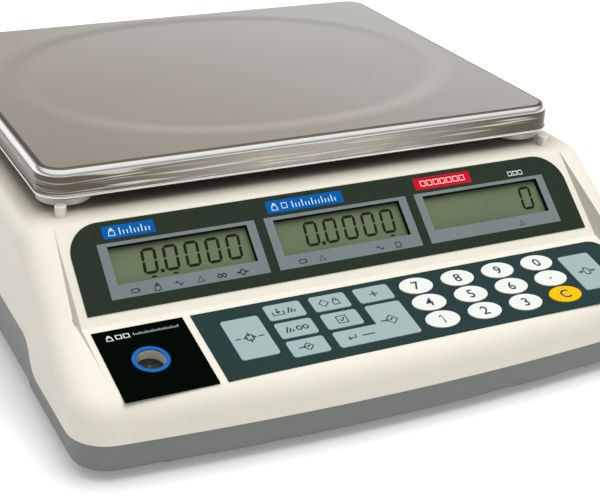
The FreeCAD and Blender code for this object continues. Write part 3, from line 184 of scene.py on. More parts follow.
# skins that several plastics share
SHELL_SKIN = {"roughness": 0.42, "grain": 0.9 * MM, "depth": 0.012 * MM, "mottle": 0.02, "wear": 0.12}
OVERLAY_SKIN = {"roughness": 0.55, "grain": 0.35 * MM, "depth": 0.006 * MM, "mottle": 0.06, "dust": 0.02,
                "wear": 0.1, "Specular_IOR_Level": 0.06}
CAP_SKIN = {"grain": 0.4 * MM, "depth": 0.006 * MM}

# print
PRINT_THICKNESS = 0.1 * MM
TYPE_SIZE = 10 * MM
FIGURE_HEIGHT = 6.2 * MM
POINT_HEIGHT = 1.3 * MM
LEGEND_WEIGHT = 0.12 * MM
STROKE = 0.8 * MM
ONE_STROKE = 1.1 * STROKE
PICTOGRAM_SIZE = 2.9 * MM
NOTE_SIZE = 0.75 * PICTOGRAM_SIZE
ENTER_ROW_DROP = 0.6 * MM

# display figures and the pointers under them, which stand below the figures counted from the right
WINDOW_WIDTH = 73.6 * MM
LAST_FIGURE_INSET = 8.9 * MM
FIGURE_PITCH = 11.2 * MM
FIGURE_LIFT = 0.7 * MM
DISPLAY_FIGURE = 12.4 * MM
FIGURE_WIDTH = 6.3 * MM
FIGURE_BAR = 1.5 * MM
FIGURE_GAP = 0.3 * MM
FIGURE_SLANT = 0.09
FIGURE_THICKNESS = 0.08 * MM
ABOVE_GLASS = 0.02 * MM
POINT_SHARE = 1.3
TIP_SHARE = 0.1
POINTER_WIDTH = 2.4 * MM
POINTER_HEIGHT = 0.9 * MM
POINTER_CORNER = 0.2 * MM
POINTER_DROP = 2.3 * MM
POINTERS = {"left": (3, 4), "middle": (0,), "right": ()}

# marks on the bezels, tags and signs above them, signs on the badge
FRAME_PITCH = 88.3 * MM
MARK_SIZE = 2.1 * MM
MARK_STROKE = 0.65 * MM
MARK_LIFT = 2.9 * MM
TAG_HEIGHT = 6.9 * MM
TAG_CORNER = 0.8 * MM
TAG_THICKNESS = 0.1 * MM
TAG_DROP = 6.3 * MM
TAG_SIGN_SIZE = 2.1 * MM
TAG_SIGN_STROKE = 0.75 * MM
TAG_SIGN_THICKNESS = 0.24 * MM
TAG_SQUARE_PITCH = 1.95
SQUARES_PLACE = (113.3 * MM, -2.2 * MM)
SQUARES_SIZE = 1.7 * MM
SQUARES_STROKE = 0.7 * MM
SQUARES_PITCH = 2.0
BADGE_BOLD_PLACE = (7.0 * MM, -5.6 * MM, 0.0)
BADGE_BOLD_SIZE = 1.9 * MM
BADGE_FINE_PLACE = (19.0 * MM, -5.4 * MM, 0.0)
BADGE_FINE_SIZE = 1.0 * MM
BADGE_FINE_STROKE = 0.35 * MM

# spirit level: half profiles as (radius, height) in mm, and their places under the window; rocker's marks
LIQUID_PROFILE = [(0, -1.2), (5.2, -1.2), (5.6, -0.9), (5.6, -0.2), (5.2, 0), (0, 0.1)]
BUBBLE_PROFILE = [(0, 0), (1.4, 0.05), (2.1, 0.2), (1.7, 0.36), (0, 0.45)]
LIQUID_DEPTH = 2.0 * MM
BUBBLE_PLACE = (0.6 * MM, 2.2 * MM, 0.08 * MM)
ROCKER_MARK_SHIFT = 3.6 * MM
ROCKER_MARK_STROKE = 0.5 * MM
ON_SIZE = 1.3 * MM
OFF_SIZE = 1.2 * MM

# studio
CAMERA_PLACE = Vector((-307.46, -650.42, 356.57)) * MM
CAMERA_AZIMUTH = math.radians(-26.94)
CAMERA_ELEVATION = math.radians(25.35)
CAMERA_ROLL = math.radians(2.53)
CAMERA_LENS = 80.78
CAMERA_SENSOR = 36.0
CAMERA_CLIP = (0.01, 50.0)
# light of the room by how steeply it comes down, from level (0) to straight down (1)
SKY = ((0.0, (1.06, 1.03, 1.0)), (0.12, (1.0, 0.97, 0.94)), (0.2, (0.34, 0.335, 0.33)),
       (0.5, (0.34, 0.335, 0.33)), (0.75, (1.03, 1.03, 1.03)), (1.0, (1.15, 1.15, 1.14)))
SKY_STRENGTH = 0.8
BACKDROP_HEIGHT = 0.3
FLOOR_REACH = 6.0
FLOOR_TONE = rgb(0.86, 0.86, 0.86)
FLOOR_LIFT = 0.2
LAMP_PLACE = Vector((0.3, -0.1, 1.9))
LAMP_WIDTH = 1.6
LAMP_DEPTH = 1.2
LAMP_POWER = 24.0
LAMP_COLOUR = (1.0, 0.99, 0.97)
WHITE = rgb(1, 1, 1)


# ---------------------------------------------------------------- node tree helpers

def feed(tree, socket, value):
    """Wire a socket to another socket, or set it to a plain value."""
    if isinstance(value, bpy.types.NodeSocket):
        tree.links.new(value, socket)
    else:
        socket.default_value = value


def add_node(tree, kind, settings=None, **inputs):
    """Add a node; inputs are given by socket name, with _ for a space."""
    made = tree.nodes.new(kind)
    for key, value in (settings or {}).items():
        setattr(made, key, value)
    for key, value in inputs.items():
        feed(tree, made.inputs[key.replace("_", " ")], value)
    return made


def feed_places(tree, made, values):
    """Feed a node's inputs by their places, given as {place: value}."""
    for place, value in values.items():
        feed(tree, made.inputs[place], value)
    return made


def calc(tree, operation, *values):
    """A math node, giving its result."""
    made = add_node(tree, "ShaderNodeMath", {"operation": operation})
    return feed_places(tree, made, dict(enumerate(values))).outputs[0]


def product(tree, first, *others):
    """Values multiplied together."""
    for other in others:
        first = calc(tree, "MULTIPLY", first, other)
    return first


def total(tree, first, *others):
    """Values added up."""
    for other in others:
        first = calc(tree, "ADD", first, other)
    return first


def inverse(tree, value):
    """One divided by a value."""
    return calc(tree, "DIVIDE", 1.0, value)


def remap(tree, value, low, high, to_low=0.0, to_high=1.0, shape="LINEAR"):
    """Stretch a value from one range to another, clamped."""
    made = add_node(tree, "ShaderNodeMapRange", {"interpolation_type": shape}, Value=value, From_Min=low,
                    From_Max=high, To_Min=to_low, To_Max=to_high)
    return made.outputs[0]


def mix(tree, factor, first, second):
    """Mix two colours."""
    made = add_node(tree, "ShaderNodeMix", {"data_type": "RGBA"})
    return feed_places(tree, made, {0: factor, 6: first, 7: second}).outputs[2]


def swing_mix(tree, value, swing, first, second):
    """Mix two colours by a value that swings about nought."""
    return mix(tree, remap(tree, value, -swing, swing), first, second)


def split(tree, vector):
    """The three parts of a vector."""
    return feed_places(tree, tree.nodes.new("ShaderNodeSeparateXYZ"), {0: vector}).outputs


def geometry(tree, name):
    """A fact about the shaded spot, by its socket's name."""
    return tree.nodes.new("ShaderNodeNewGeometry").outputs[name]


def vector_math(tree, operation, *values):
    """A vector math node; a result that is a number comes out at Value."""
    made = add_node(tree, "ShaderNodeVectorMath", {"operation": operation})
    return feed_places(tree, made, dict(enumerate(values)))


def noise(tree, vector, **inputs):
    """A noise from 0 to 1."""
    return add_node(tree, "ShaderNodeTexNoise", Vector=vector, **inputs).outputs["Fac"]


def scaled(colour, factor):
    """A colour made darker or lighter."""
    return tuple(channel * factor for channel in colour[:3]) + (1.0,)


def new_group(kind, name, inputs, outputs):
    """An empty node group with named sockets, given as (name, kind, value)."""
    tree = bpy.data.node_groups.new(name, kind)
    for label, socket_kind, value in inputs:
        socket = tree.interface.new_socket(label, in_out="INPUT", socket_type=socket_kind)
        if value is not None:
            socket.default_value = value
    for label, socket_kind in outputs:
        tree.interface.new_socket(label, in_out="OUTPUT", socket_type=socket_kind)
    return tree, tree.nodes.new("NodeGroupInput").outputs, tree.nodes.new("NodeGroupOutput").inputs


# ---------------------------------------------------------------- shared surface effects

def moulded_grain_group():
    """Spark-eroded grain of a moulded plastic skin."""
    tree, given, made = new_group(
        "ShaderNodeTree", "Moulded grain",
        [("Vector", VECTOR, None), ("Grain Size", NUMBER, 0.6 * MM), ("Mottle Size", NUMBER, 30 * MM)],
        [("Height", NUMBER), ("Mottle", NUMBER)])
    fine = noise(tree, given["Vector"], Scale=inverse(tree, given["Grain Size"]), Detail=2.0, Roughness=0.6)
    pits = add_node(tree, "ShaderNodeTexVoronoi", {"feature": "SMOOTH_F1"}, Vector=given["Vector"],
                    Scale=calc(tree, "DIVIDE", PIT_SHARE, given["Grain Size"]))
    broad = noise(tree, given["Vector"], Scale=inverse(tree, given["Mottle Size"]), Detail=3.0)
    feed(tree, made["Height"], total(tree, fine, product(tree, pits.outputs["Distance"], PIT_DEPTH)))
    feed(tree, made["Mottle"], calc(tree, "SUBTRACT", broad, 0.5))
    return tree


def handling_group():
    """Fine dust that settles on upward faces, and the dull smears that hands leave."""
    tree, given, made = new_group(
        "ShaderNodeTree", "Handling",
        [("Vector", VECTOR, None), ("Dust", NUMBER, 0.1), ("Smear Size", NUMBER, 50 * MM)],
        [("Dust", NUMBER), ("Smear", NUMBER)])
    specks = remap(tree, noise(tree, given["Vector"], Scale=420.0, Detail=4.0, Roughness=0.7), *DUST_BAND)
    drifts = remap(tree, noise(tree, given["Vector"], Scale=14.0, Detail=3.0), *DRIFT_BAND, DRIFT_LEAST)
    upward = remap(tree, split(tree, geometry(tree, "Normal"))[2], *UPWARD_BAND)
    feed(tree, made["Dust"], product(tree, specks, drifts, upward, given["Dust"]))
    smears = noise(tree, given["Vector"], Scale=inverse(tree, given["Smear Size"]), Detail=5.0,
                   Roughness=0.65, Distortion=1.2)
    feed(tree, made["Smear"], remap(tree, smears, *SMEAR_BAND))
    return tree


def edge_wear_group():
    """A mask that is 1 on outer edges that get rubbed, broken up by noise."""
    tree, given, made = new_group(
        "ShaderNodeTree", "Edge wear",
        [("Vector", VECTOR, None), ("Radius", NUMBER, 0.8 * MM), ("Amount", NUMBER, 0.5)],
        [("Edge", NUMBER)])
    rounded = add_node(tree, "ShaderNodeBevel", {"samples": 4}, Radius=given["Radius"])
    agree = vector_math(tree, "DOT_PRODUCT", rounded.outputs["Normal"], geometry(tree, "Normal"))
    edge = remap(tree, agree.outputs["Value"], *EDGE_BAND)
    patches = remap(tree, noise(tree, given["Vector"], Scale=180.0, Detail=4.0), *RUB_BAND, RUB_LEAST)
    feed(tree, made["Edge"], product(tree, edge, given["Amount"], patches))
    return tree


def metal_lay_group():
    """The lay of a worked metal: fine streaks along one direction, with a broad cloudiness."""
    tree, given, made = new_group(
        "ShaderNodeTree", "Metal lay",
        [("Vector", VECTOR, None), ("Streak Length", NUMBER, 40 * MM), ("Streak Width", NUMBER, 0.4 * MM)],
        [("Height", NUMBER), ("Streak", NUMBER), ("Cloud", NUMBER)])
    along, across = [inverse(tree, given["Streak " + side]) for side in ("Length", "Width")]
    stretch = add_node(tree, "ShaderNodeCombineXYZ", X=along, Y=across, Z=across)
    drawn = vector_math(tree, "MULTIPLY", given["Vector"], stretch.outputs[0])
    streaks = noise(tree, drawn.outputs[0], Scale=1.0, Detail=3.0, Roughness=0.7)
    clouds = noise(tree, given["Vector"], Scale=11.0, Detail=3.0, Roughness=0.55)
    feed(tree, made["Height"], streaks)
    feed(tree, made["Streak"], calc(tree, "SUBTRACT", streaks, 0.5))
    feed(tree, made["Cloud"], calc(tree, "SUBTRACT", clouds, 0.5))
    return tree


MOULDED_GRAIN = moulded_grain_group()
HANDLING = handling_group()
EDGE_WEAR = edge_wear_group()
METAL_LAY = metal_lay_group()


# ---------------------------------------------------------------- finishes

def use_group(tree, group, **inputs):
    """Place a shared effect with its own values, giving its outputs."""
    return add_node(tree, "ShaderNodeGroup", {"node_tree": group}, **inputs).outputs


def new_finish(name, **constants):
    """A material with a Principled shader whose plain values are set on its own sockets."""
    made = bpy.data.materials.new(name)
    made.use_nodes = True
    tree = made.node_tree
    tree.nodes.clear()
    shader = add_node(tree, "ShaderNodeBsdfPrincipled", **constants)
    add_node(tree, "ShaderNodeOutputMaterial", Surface=shader.outputs[0])
    return made, tree, shader, tree.nodes.new("ShaderNodeTexCoord").outputs["Object"]


def surface(tree, shader, colour, roughness, height, depth):
    """Give a shader its colour, its roughness and its relief."""
    feed(tree, shader.inputs["Base Color"], colour)
    feed(tree, shader.inputs["Roughness"], roughness)
    relief = add_node(tree, "ShaderNodeBump", Height=height, Strength=1.0, Distance=depth)
    feed(tree, shader.inputs["Normal"], relief.outputs["Normal"])


def plastic(name, colour, roughness, grain, depth, mottle, dust, wear, wear_shift=1.25, **constants):
    """A moulded plastic: grain, mottled tone, dust, smears, and edges that are rubbed lighter."""
    made, tree, shader, place = new_finish(name, **constants)
    skin = use_group(tree, MOULDED_GRAIN, Vector=place, Grain_Size=grain)
    touch = use_group(tree, HANDLING, Vector=place, Dust=dust)
    edge = use_group(tree, EDGE_WEAR, Vector=place, Amount=wear)["Edge"]
    tone = swing_mix(tree, skin["Mottle"], MOTTLE_SWING, scaled(colour, 1.0 - mottle),
                     scaled(colour, 1.0 + mottle))
    rubbed = mix(tree, edge, tone, scaled(colour, wear_shift))
    dull = total(tree, roughness, product(tree, skin["Mottle"], MOTTLE_ROUGHNESS),
                 product(tree, touch["Smear"], SMEAR_ROUGHNESS))
    surface(tree, shader, mix(tree, touch["Dust"], rubbed, DUST_TONE),
            calc(tree, "SUBTRACT", dull, product(tree, edge, EDGE_POLISH)), skin["Height"], depth)
    return made


def metal(name, colour, roughness, streak_length, streak_width, depth=0.01 * MM):
    """A worked metal: directional lay, clouded tone, and bright rubbed edges."""
    made, tree, shader, place = new_finish(name, Metallic=1.0)
    lay = use_group(tree, METAL_LAY, Vector=place, Streak_Length=streak_length, Streak_Width=streak_width)
    edge = use_group(tree, EDGE_WEAR, Vector=place, Amount=METAL_WEAR)["Edge"]
    shade = total(tree, product(tree, lay["Streak"], LAY_TONE), product(tree, lay["Cloud"], CLOUD_TONE))
    tone = swing_mix(tree, shade, LAY_SWING, scaled(colour, METAL_DARK), scaled(colour, METAL_LIGHT))
    dull = total(tree, roughness, product(tree, lay["Streak"], LAY_ROUGHNESS))
    surface(tree, shader, mix(tree, edge, tone, scaled(colour, METAL_RUBBED)),
            calc(tree, "SUBTRACT", dull, product(tree, edge, METAL_POLISH)), lay["Height"], depth)
    return made


def ink(name, colour, roughness=0.5, **constants):
    """A screen-printed ink: slightly uneven cover and a soft tooth."""
    made, tree, shader, place = new_finish(name, **constants)
    skin = use_group(tree, MOULDED_GRAIN, Vector=place, Grain_Size=0.3 * MM, Mottle_Size=6 * MM)
    tone = swing_mix(tree, skin["Mottle"], MOTTLE_SWING, scaled(colour, INK_THIN), scaled(colour, INK_FULL))
    surface(tree, shader, tone, total(tree, roughness, product(tree, skin["Mottle"], INK_ROUGHNESS)),
            skin["Height"], INK_TOOTH)
    return made


def oval_ridge(tree, spot, middle):
    """How much a spot lies on the oval ridge of the pan, and how far it leans to the back (-1 to 1)."""
    across = calc(tree, "DIVIDE", calc(tree, "SUBTRACT", spot[0], middle.x), RIDGE_HALF_WIDTH)
    along = calc(tree, "DIVIDE", calc(tree, "SUBTRACT", spot[1], middle.y + RIDGE_SHIFT), RIDGE_HALF_DEPTH)
    powers = [calc(tree, "POWER", calc(tree, "ABSOLUTE", part), RIDGE_POWER) for part in (across, along)]
    reach = calc(tree, "POWER", total(tree, *powers), 1.0 / RIDGE_POWER)
    off = calc(tree, "ABSOLUTE", calc(tree, "SUBTRACT", reach, 1.0))
    return remap(tree, off, 0.0, RIDGE_SHARE, 1.0, 0.0, "SMOOTHSTEP"), along


def pan_steel():
    """Stainless pan: satin top with a painted reflection lightening toward its far right, a pressed oval
    ridge with painted light and shade on its sides, a painted dark reflection where the satin ends, a painted
    highlight on the rolled rim, and a skirt with painted streaked reflections above a painted highlight on
    the hem."""
    made, tree, shader, place = new_finish("Satin stainless pan", Metallic=1.0)
    low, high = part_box("weighing_pan")
    lay = use_group(tree, METAL_LAY, Vector=place, Streak_Length=60 * MM, Streak_Width=0.5 * MM)
    grain = use_group(tree, MOULDED_GRAIN, Vector=place, Grain_Size=0.5 * MM, Mottle_Size=90 * MM)
    spot = split(tree, place)
    tilt = split(tree, geometry(tree, "Normal"))[2]
    ridge, lean = oval_ridge(tree, spot, (low + high) / 2)

    # painted reflection: the satin lightens toward the far right and the back
    painted_reflection_sweep = total(tree, remap(tree, spot[0], low.x, high.x, 0.0, SWEEP_ACROSS),
                  remap(tree, spot[1], low.y, high.y, 0.0, SWEEP_BACK))
    shade = total(tree, product(tree, lay["Streak"], SATIN_STREAK),
                  product(tree, grain["Mottle"], SATIN_CLOUD))
    satin = mix(tree, total(tree, painted_reflection_sweep, shade), PAN_NEAR, PAN_FAR)
    # painted light on the ridge's front side and painted shade on its back side
    ridge_shaded = vector_math(tree, "SCALE", satin)
    feed(tree, ridge_shaded.inputs["Scale"], calc(tree, "SUBTRACT", 1.0, product(tree, ridge, lean, RIDGE_PAINTED_SHADE)))

    # painted streaked reflections on the skirt, lighter in the middle of the front and back
    flattened = add_node(tree, "ShaderNodeMapping", Vector=place, Scale=SKIRT_STREAKS)
    streaks = noise(tree, flattened.outputs[0], Scale=1.0, Detail=2.0, Roughness=0.6)
    skirt = mix(tree, remap(tree, streaks, *SKIRT_BAND), SKIRT_PAINTED_DARK_REFLECTION, SKIRT_PAINTED_LIGHT_REFLECTION)
    middle_painted_reflection = remap(tree, calc(tree, "ABSOLUTE", spot[0]), *SKIRT_MIDDLE, SKIRT_MIDDLE_SHARE, 0.0)
    tone = mix(tree, middle_painted_reflection, skirt, SKIRT_PAINTED_LIGHT_REFLECTION)
    # painted highlight on the rim, painted dark reflection at the fold line, then the satin on top
    for tilts, over in ((RIM_TILT, RIM_PAINTED_HIGHLIGHT), (FOLD_TILT, FOLD_PAINTED_DARK_REFLECTION), (SATIN_TILT, ridge_shaded.outputs[0])):
        tone = mix(tree, remap(tree, tilt, *tilts), tone, over)
    # painted highlight along the bottom hem
    hem = remap(tree, spot[2], low.z + HEM[0], low.z + HEM[1], 1.0, 0.0)

    polished, satiny = [total(tree, plain, product(tree, lay["Streak"], change))
                        for plain, change in (POLISHED, SATIN)]
    blend = feed_places(tree, tree.nodes.new("ShaderNodeMix"),
                        {0: remap(tree, tilt, *POLISH_ENDS), 2: polished, 3: satiny})
    surface(tree, shader, mix(tree, hem, tone, RIM_PAINTED_HIGHLIGHT), blend.outputs[0],
            total(tree, product(tree, lay["Height"], SATIN_RELIEF), ridge), RIDGE_RISE)
    return made


def bezel_print():
    """Grey display bezel whose window walls, the faces that don't look out of the front, are black."""
    made, tree, shader, place = new_finish("Grey display bezel", Specular_IOR_Level=0.15)
    skin = use_group(tree, MOULDED_GRAIN, Vector=place, Grain_Size=0.5 * MM)
    out = face_of("display_frames")["matrix"].to_3x3() @ UP
    facing = vector_math(tree, "DOT_PRODUCT", geometry(tree, "True Normal"), out)
    front = remap(tree, facing.outputs["Value"], *FRONT_FACING)
    tone = swing_mix(tree, skin["Mottle"], MOTTLE_SWING, BEZEL_DARK, BEZEL_LIGHT)
    surface(tree, shader, mix(tree, front, WINDOW_BLACK, tone),
            remap(tree, skin["Mottle"], -MOTTLE_SWING, MOTTLE_SWING, *BEZEL_ROUGHNESS), skin["Height"],
            0.01 * MM)
    return made


def display_glass():
    """Reflective display: an olive ground with a faint polariser shimmer."""
    made, tree, shader, place = new_finish("Olive display glass", Specular_IOR_Level=0.2)
    broad = noise(tree, place, Scale=24.0, Detail=2.0)
    fine = noise(tree, place, Scale=1600.0, Detail=1.0)
    tone = mix(tree, remap(tree, broad, *NOISE_BAND), OLIVE_DARK, OLIVE_LIGHT)
    surface(tree, shader, mix(tree, product(tree, fine, SHIMMER), tone, OLIVE_SHIMMER),
            remap(tree, broad, *NOISE_BAND, *DISPLAY_ROUGHNESS), fine, 0.002 * MM)
    return made


def vial_glass():
    """Clear moulded window of the spirit level, with faint flow lines."""
    made, tree, shader, place = new_finish("Clear vial window", Transmission_Weight=1.0, IOR=1.47,
                                           Metallic=0.0)
    flow = noise(tree, place, Scale=160.0, Detail=2.0, Distortion=0.8)
    surface(tree, shader, mix(tree, flow, WINDOW_TINT, WINDOW_CLEAR),
            remap(tree, flow, *NOISE_BAND, *WINDOW_ROUGHNESS), flow, 0.02 * MM)
    return made


def level_liquid():
    """Liquid of the level: tan in its middle, dark toward its edge."""
    made, tree, shader, place = new_finish("Level liquid", Specular_IOR_Level=0.2)
    middle = face_of("level_window")["matrix"].translation
    centred = add_node(tree, "ShaderNodeMapping", Vector=place,
                       Location=tuple(-part - past for part, past in zip(middle, LIQUID_SHIFT)))
    reach = vector_math(tree, "LENGTH", centred.outputs[0]).outputs["Value"]
    ripple = noise(tree, place, Scale=300.0, Detail=2.0)
    tan = mix(tree, ripple, LIQUID_DEEP, LIQUID_PALE)
    surface(tree, shader, mix(tree, remap(tree, reach, *LIQUID_EDGE), tan, LIQUID_DARK),
            remap(tree, ripple, *NOISE_BAND, *LIQUID_ROUGHNESS), ripple, 0.01 * MM)
    return made


def circuit_board():
    """Green solder mask with copper tracks showing through it."""
    made, tree, shader, place = new_finish("Green circuit board", Coat_Weight=0.3)
    tracks = add_node(tree, "ShaderNodeTexBrick", Vector=place, Scale=90.0, Mortar_Size=0.06,
                      Color1=BOARD_GREEN, Color2=BOARD_GREEN_PALE, Mortar=BOARD_TRACK)
    cloud = noise(tree, place, Scale=60.0, Detail=3.0)
    surface(tree, shader, mix(tree, product(tree, cloud, CLOUDINESS), tracks.outputs["Color"], BOARD_CLOUD),
            remap(tree, cloud, *NOISE_BAND, *BOARD_ROUGHNESS), tracks.outputs["Fac"], 0.03 * MM)
    return made


def cover_skin():
    """Cream shell, with painted shade on the walls of its sunk panels and on the deck under the pan."""
    made = plastic("Cream cover shell", CREAM, **SHELL_SKIN, dust=0.05, wear_shift=1.06)
    tree = made.node_tree
    shader = next(each for each in tree.nodes if each.type == "BSDF_PRINCIPLED")
    unshaded_shell = shader.inputs["Base Color"].links[0].from_socket
    spot = split(tree, tree.nodes.new("ShaderNodeTexCoord").outputs["Object"])
    facing = split(tree, geometry(tree, "Normal"))
    # painted shade on the panel walls that face the middle
    painted_wall_shade = remap(tree, product(tree, spot[0], facing[0]), *WALL_INWARD, 1.0, 0.0)
    wall_shaded = mix(tree, painted_wall_shade, unshaded_shell, scaled(CREAM, WALL_SHADE))
    # painted shade on the deck under the pan's overhang
    beside = remap(tree, calc(tree, "ABSOLUTE", spot[0]), *DECK_BESIDE, 1.0, 0.0)
    behind = remap(tree, spot[1], *DECK_BEHIND)
    under_pan_shade = product(tree, beside, behind, remap(tree, facing[2], *DECK_FLAT))
    feed(tree, shader.inputs["Base Color"], mix(tree, under_pan_shade, wall_shaded, DECK_PAINTED_SHADE))
    return made


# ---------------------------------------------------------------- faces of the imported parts

def face_of(node, toward=(0.0, -0.3, 1.0)):
    """The outermost large flat face of a part that looks toward a direction, as a frame with its size.
    The frame's x runs to the right of somebody who looks at the face, y up it, and z out of it."""
    mesh = NODES[node].data
    toward = Vector(toward).normalized()
    sums = {}
    for polygon in mesh.polygons:
        if polygon.normal.dot(toward) > SAME_SIDE:
            key = tuple(round(part, 1) for part in polygon.normal)
            area = sums.setdefault(key, [0.0, Vector()])
            area[0] += polygon.area
            area[1] += polygon.normal * polygon.area
    out = max(sums.values(), key=lambda area: area[0])[1].normalized()
    level = UP if abs(out.z) < FLUSH else Vector((0.0, 1.0, 0.0))
    up = (level - out * level.dot(out)).normalized()
    across = up.cross(out)
    points = [mesh.vertices[corner].co for polygon in mesh.polygons if polygon.normal.dot(out) > FLUSH
              for corner in polygon.vertices]
    height = max(point.dot(out) for point in points)
    flat = [point for point in points if point.dot(out) > height - FLAT_WITHIN]
    xs = [point.dot(across) for point in flat]
    ys = [point.dot(up) for point in flat]
    middle = across * (min(xs) + max(xs)) / 2 + up * (min(ys) + max(ys)) / 2 + out * height
    matrix = Matrix((across, up, out)).transposed().to_4x4()
    matrix.translation = middle
    return {"matrix": matrix, "width": max(xs) - min(xs), "height": max(ys) - min(ys)}


def dress(node, finish):
    """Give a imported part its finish."""
    materials = NODES[node].data.materials
    materials.clear()
    materials.append(finish)


def link(name, data):
    """A new object in the scene."""
    made = bpy.data.objects.new(name, data)
    bpy.context.scene.collection.objects.link(made)
    return made


def mesh_piece(mesh, name, finish):
    """An object that shows a mesh in one finish."""
    mesh.materials.clear()
    mesh.materials.append(finish)
    return link(name, mesh)


def to_mesh(thing, name, finish):
    """Turn a curve, a text or a modified object into a plain mesh object with one finish."""
    bpy.context.view_layer.update()
    shown = thing.evaluated_get(bpy.context.evaluated_depsgraph_get())
    mesh = bpy.data.meshes.new_from_object(shown)
    mesh.name = name
    bpy.data.objects.remove(thing)
    return mesh_piece(mesh, name, finish)


def settle(piece, matrix, body):
    """Put a finished mesh in its place, on its body."""
    piece.data.transform(matrix)
    if matrix.determinant() < 0:
        piece.data.flip_normals()
    piece.data.update()
    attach(piece, body)


def shift(x, y, z=0.0):
    """A move along a face, and out of it."""
    return Matrix.Translation((x, y, z))


# ---------------------------------------------------------------- printed legends

def printed_text(name, text, height, finish):
    """A printed figure of a given height, as a thin closed solid centred on its origin."""
    data = bpy.data.curves.new(name, "FONT")
    data.body = text
    data.size = TYPE_SIZE
    data.extrude = PRINT_THICKNESS
    data.offset = LEGEND_WEIGHT
    data.resolution_u = 4
    piece = to_mesh(link(name, data), name, finish)
    points = [vertex.co for vertex in piece.data.vertices]
    low = Vector(min(point[axis] for point in points) for axis in range(3))
    high = Vector(max(point[axis] for point in points) for axis in range(3))
    grow = height / (high.y - low.y)
    deep = PRINT_THICKNESS / (high.z - low.z)
    middle = (low + high) / 2
    piece.data.transform(Matrix.Diagonal((grow, grow, deep, 1.0)) @ Matrix.Translation(-middle))
    return piece


def printed_strokes(name, lines, size, width, finish, thickness=PRINT_THICKNESS):
    """A printed pictogram drawn as rounded strokes on a unit square."""
    data = bpy.data.curves.new(name, "CURVE")
    data.dimensions = "3D"
    data.bevel_depth = width / 2
    data.bevel_resolution = 1
    data.use_fill_caps = True
    for line in lines:
        closed = math.dist(line[0], line[-1]) < SAME_SPOT
        points = line[:-1] if closed else line
        spline = data.splines.new("POLY")
        spline.points.add(len(points) - 1)
        for point, (x, y) in zip(spline.points, points):
            point.co = (x * size, y * size, 0.0, 1.0)
        spline.use_cyclic_u = closed
    piece = to_mesh(link(name, data), name, finish)
    piece.data.transform(Matrix.Diagonal((1.0, 1.0, thickness / width, 1.0)))
    return piece


def arc(x, y, radius, start, end, steps):
    """Points along an arc, with angles in degrees."""
    turns = [math.radians(start + (end - start) * step / steps) for step in range(steps + 1)]
    return [(x + radius * math.cos(turn), y + radius * math.sin(turn)) for turn in turns]


def rounded_plate(name, width, height, corner, thickness, finish):
    """A thin plate with rounded corners, centred on its origin."""
    mesh = bpy.data.meshes.new(name)
    shape = bmesh.new()
    outline = []
    for sign_x, sign_y, start in ((1, 1, 0), (-1, 1, 90), (-1, -1, 180), (1, -1, 270)):
        outline += arc(sign_x * (width / 2 - corner), sign_y * (height / 2 - corner), corner, start,
                       start + 90, CORNER_STEPS)
    ring = [shape.verts.new((x, y, -thickness / 2)) for x, y in outline]
    face = shape.faces.new(ring)
    raised = bmesh.ops.extrude_face_region(shape, geom=[face])["geom"]
    bmesh.ops.translate(shape, vec=(0, 0, thickness),
                        verts=[item for item in raised if isinstance(item, bmesh.types.BMVert)])
    bmesh.ops.recalc_face_normals(shape, faces=shape.faces)
    shape.to_mesh(mesh)
    shape.free()
    return mesh_piece(mesh, name, finish)


def loop(left, low, right, high):
    """A closed rectangle of a pictogram."""
    return [(left, low), (right, low), (right, high), (left, high), (left, low)]


def moved(lines, x, y=0.0, size=1.0):
    """A pictogram shifted and resized."""
    return [[(size * px + x, size * py + y) for px, py in line] for line in lines]


def ruler(first, count, pitch=0.9):
    """Graduation strokes, every third one long."""
    return [[(first + pitch * step, -0.9), (first + pitch * step, 0.15 if step % 3 else 0.9)]
            for step in range(count)]


# pictograms on a square that runs from -1 to 1
RING = arc(0, 0, 1, 0, 360, 28)
SQUARE = [loop(-0.7, -0.7, 0.7, 0.7)]
PLUS = [[(-1, 0), (1, 0)], [(0, -1), (0, 1)]]
ONE = [[(-0.35, 0.5), (0.12, 1), (0.12, -1)]]
KETTLE_WEIGHT = [[(-0.8, -0.9), (0.8, -0.9), (0.55, 0.35), (-0.55, 0.35), (-0.8, -0.9)],
                 arc(0, 0.62, 0.27, -90, 270, 14)]
INTO_TRAY = [[(-1, 0.1), (-1, -0.8), (1, -0.8), (1, 0.1)], [(0, 0.9), (0, -0.3)],
             [(-0.4, 0.1), (0, -0.35), (0.4, 0.1)]]
ZERO_MARK = [[(0.5 * x, 0.75 * y) for x, y in RING], [(-1.5, 0), (-0.8, 0)], [(0.8, 0), (1.5, 0)],
             [(-1.05, 0.25), (-0.75, 0), (-1.05, -0.25)], [(1.05, 0.25), (0.75, 0), (1.05, -0.25)]]
TARGET = [[(0.6 * x, 0.6 * y) for x, y in RING], [(-1, 0), (-0.3, 0)], [(0.3, 0), (1, 0)],
          [(0, -1), (0, -0.3)], [(0, 0.3), (0, 1)]]
TWO_RINGS = moved([RING], -0.6, 0.0, 0.45) + moved([RING], 0.6, 0.0, 0.45)
RETURN_ARROW = [[(1, 0.8), (1, -0.2), (-0.9, -0.2)], [(-0.4, 0.3), (-0.95, -0.2), (-0.4, -0.7)]]
BOXED_TICK = [loop(-0.8, -0.8, 0.8, 0.8), [(-0.4, 0), (-0.1, -0.35), (0.45, 0.4)]]
DIAMOND = [[(0, -0.9), (0.9, 0), (0, 0.9), (-0.9, 0), (0, -0.9)]]
FED_DIAMOND = DIAMOND + [[(-1.7, 0), (-0.4, 0)], [(-0.2, -0.2), (0.1, 0.25), (0.35, 0.1)]]
HATCHING = [[(-0.8, -0.7), (-0.2, 0.7)], [(-0.2, -0.7), (0.2, 0.3)], [(0.4, -0.7), (0.6, -0.1)]]
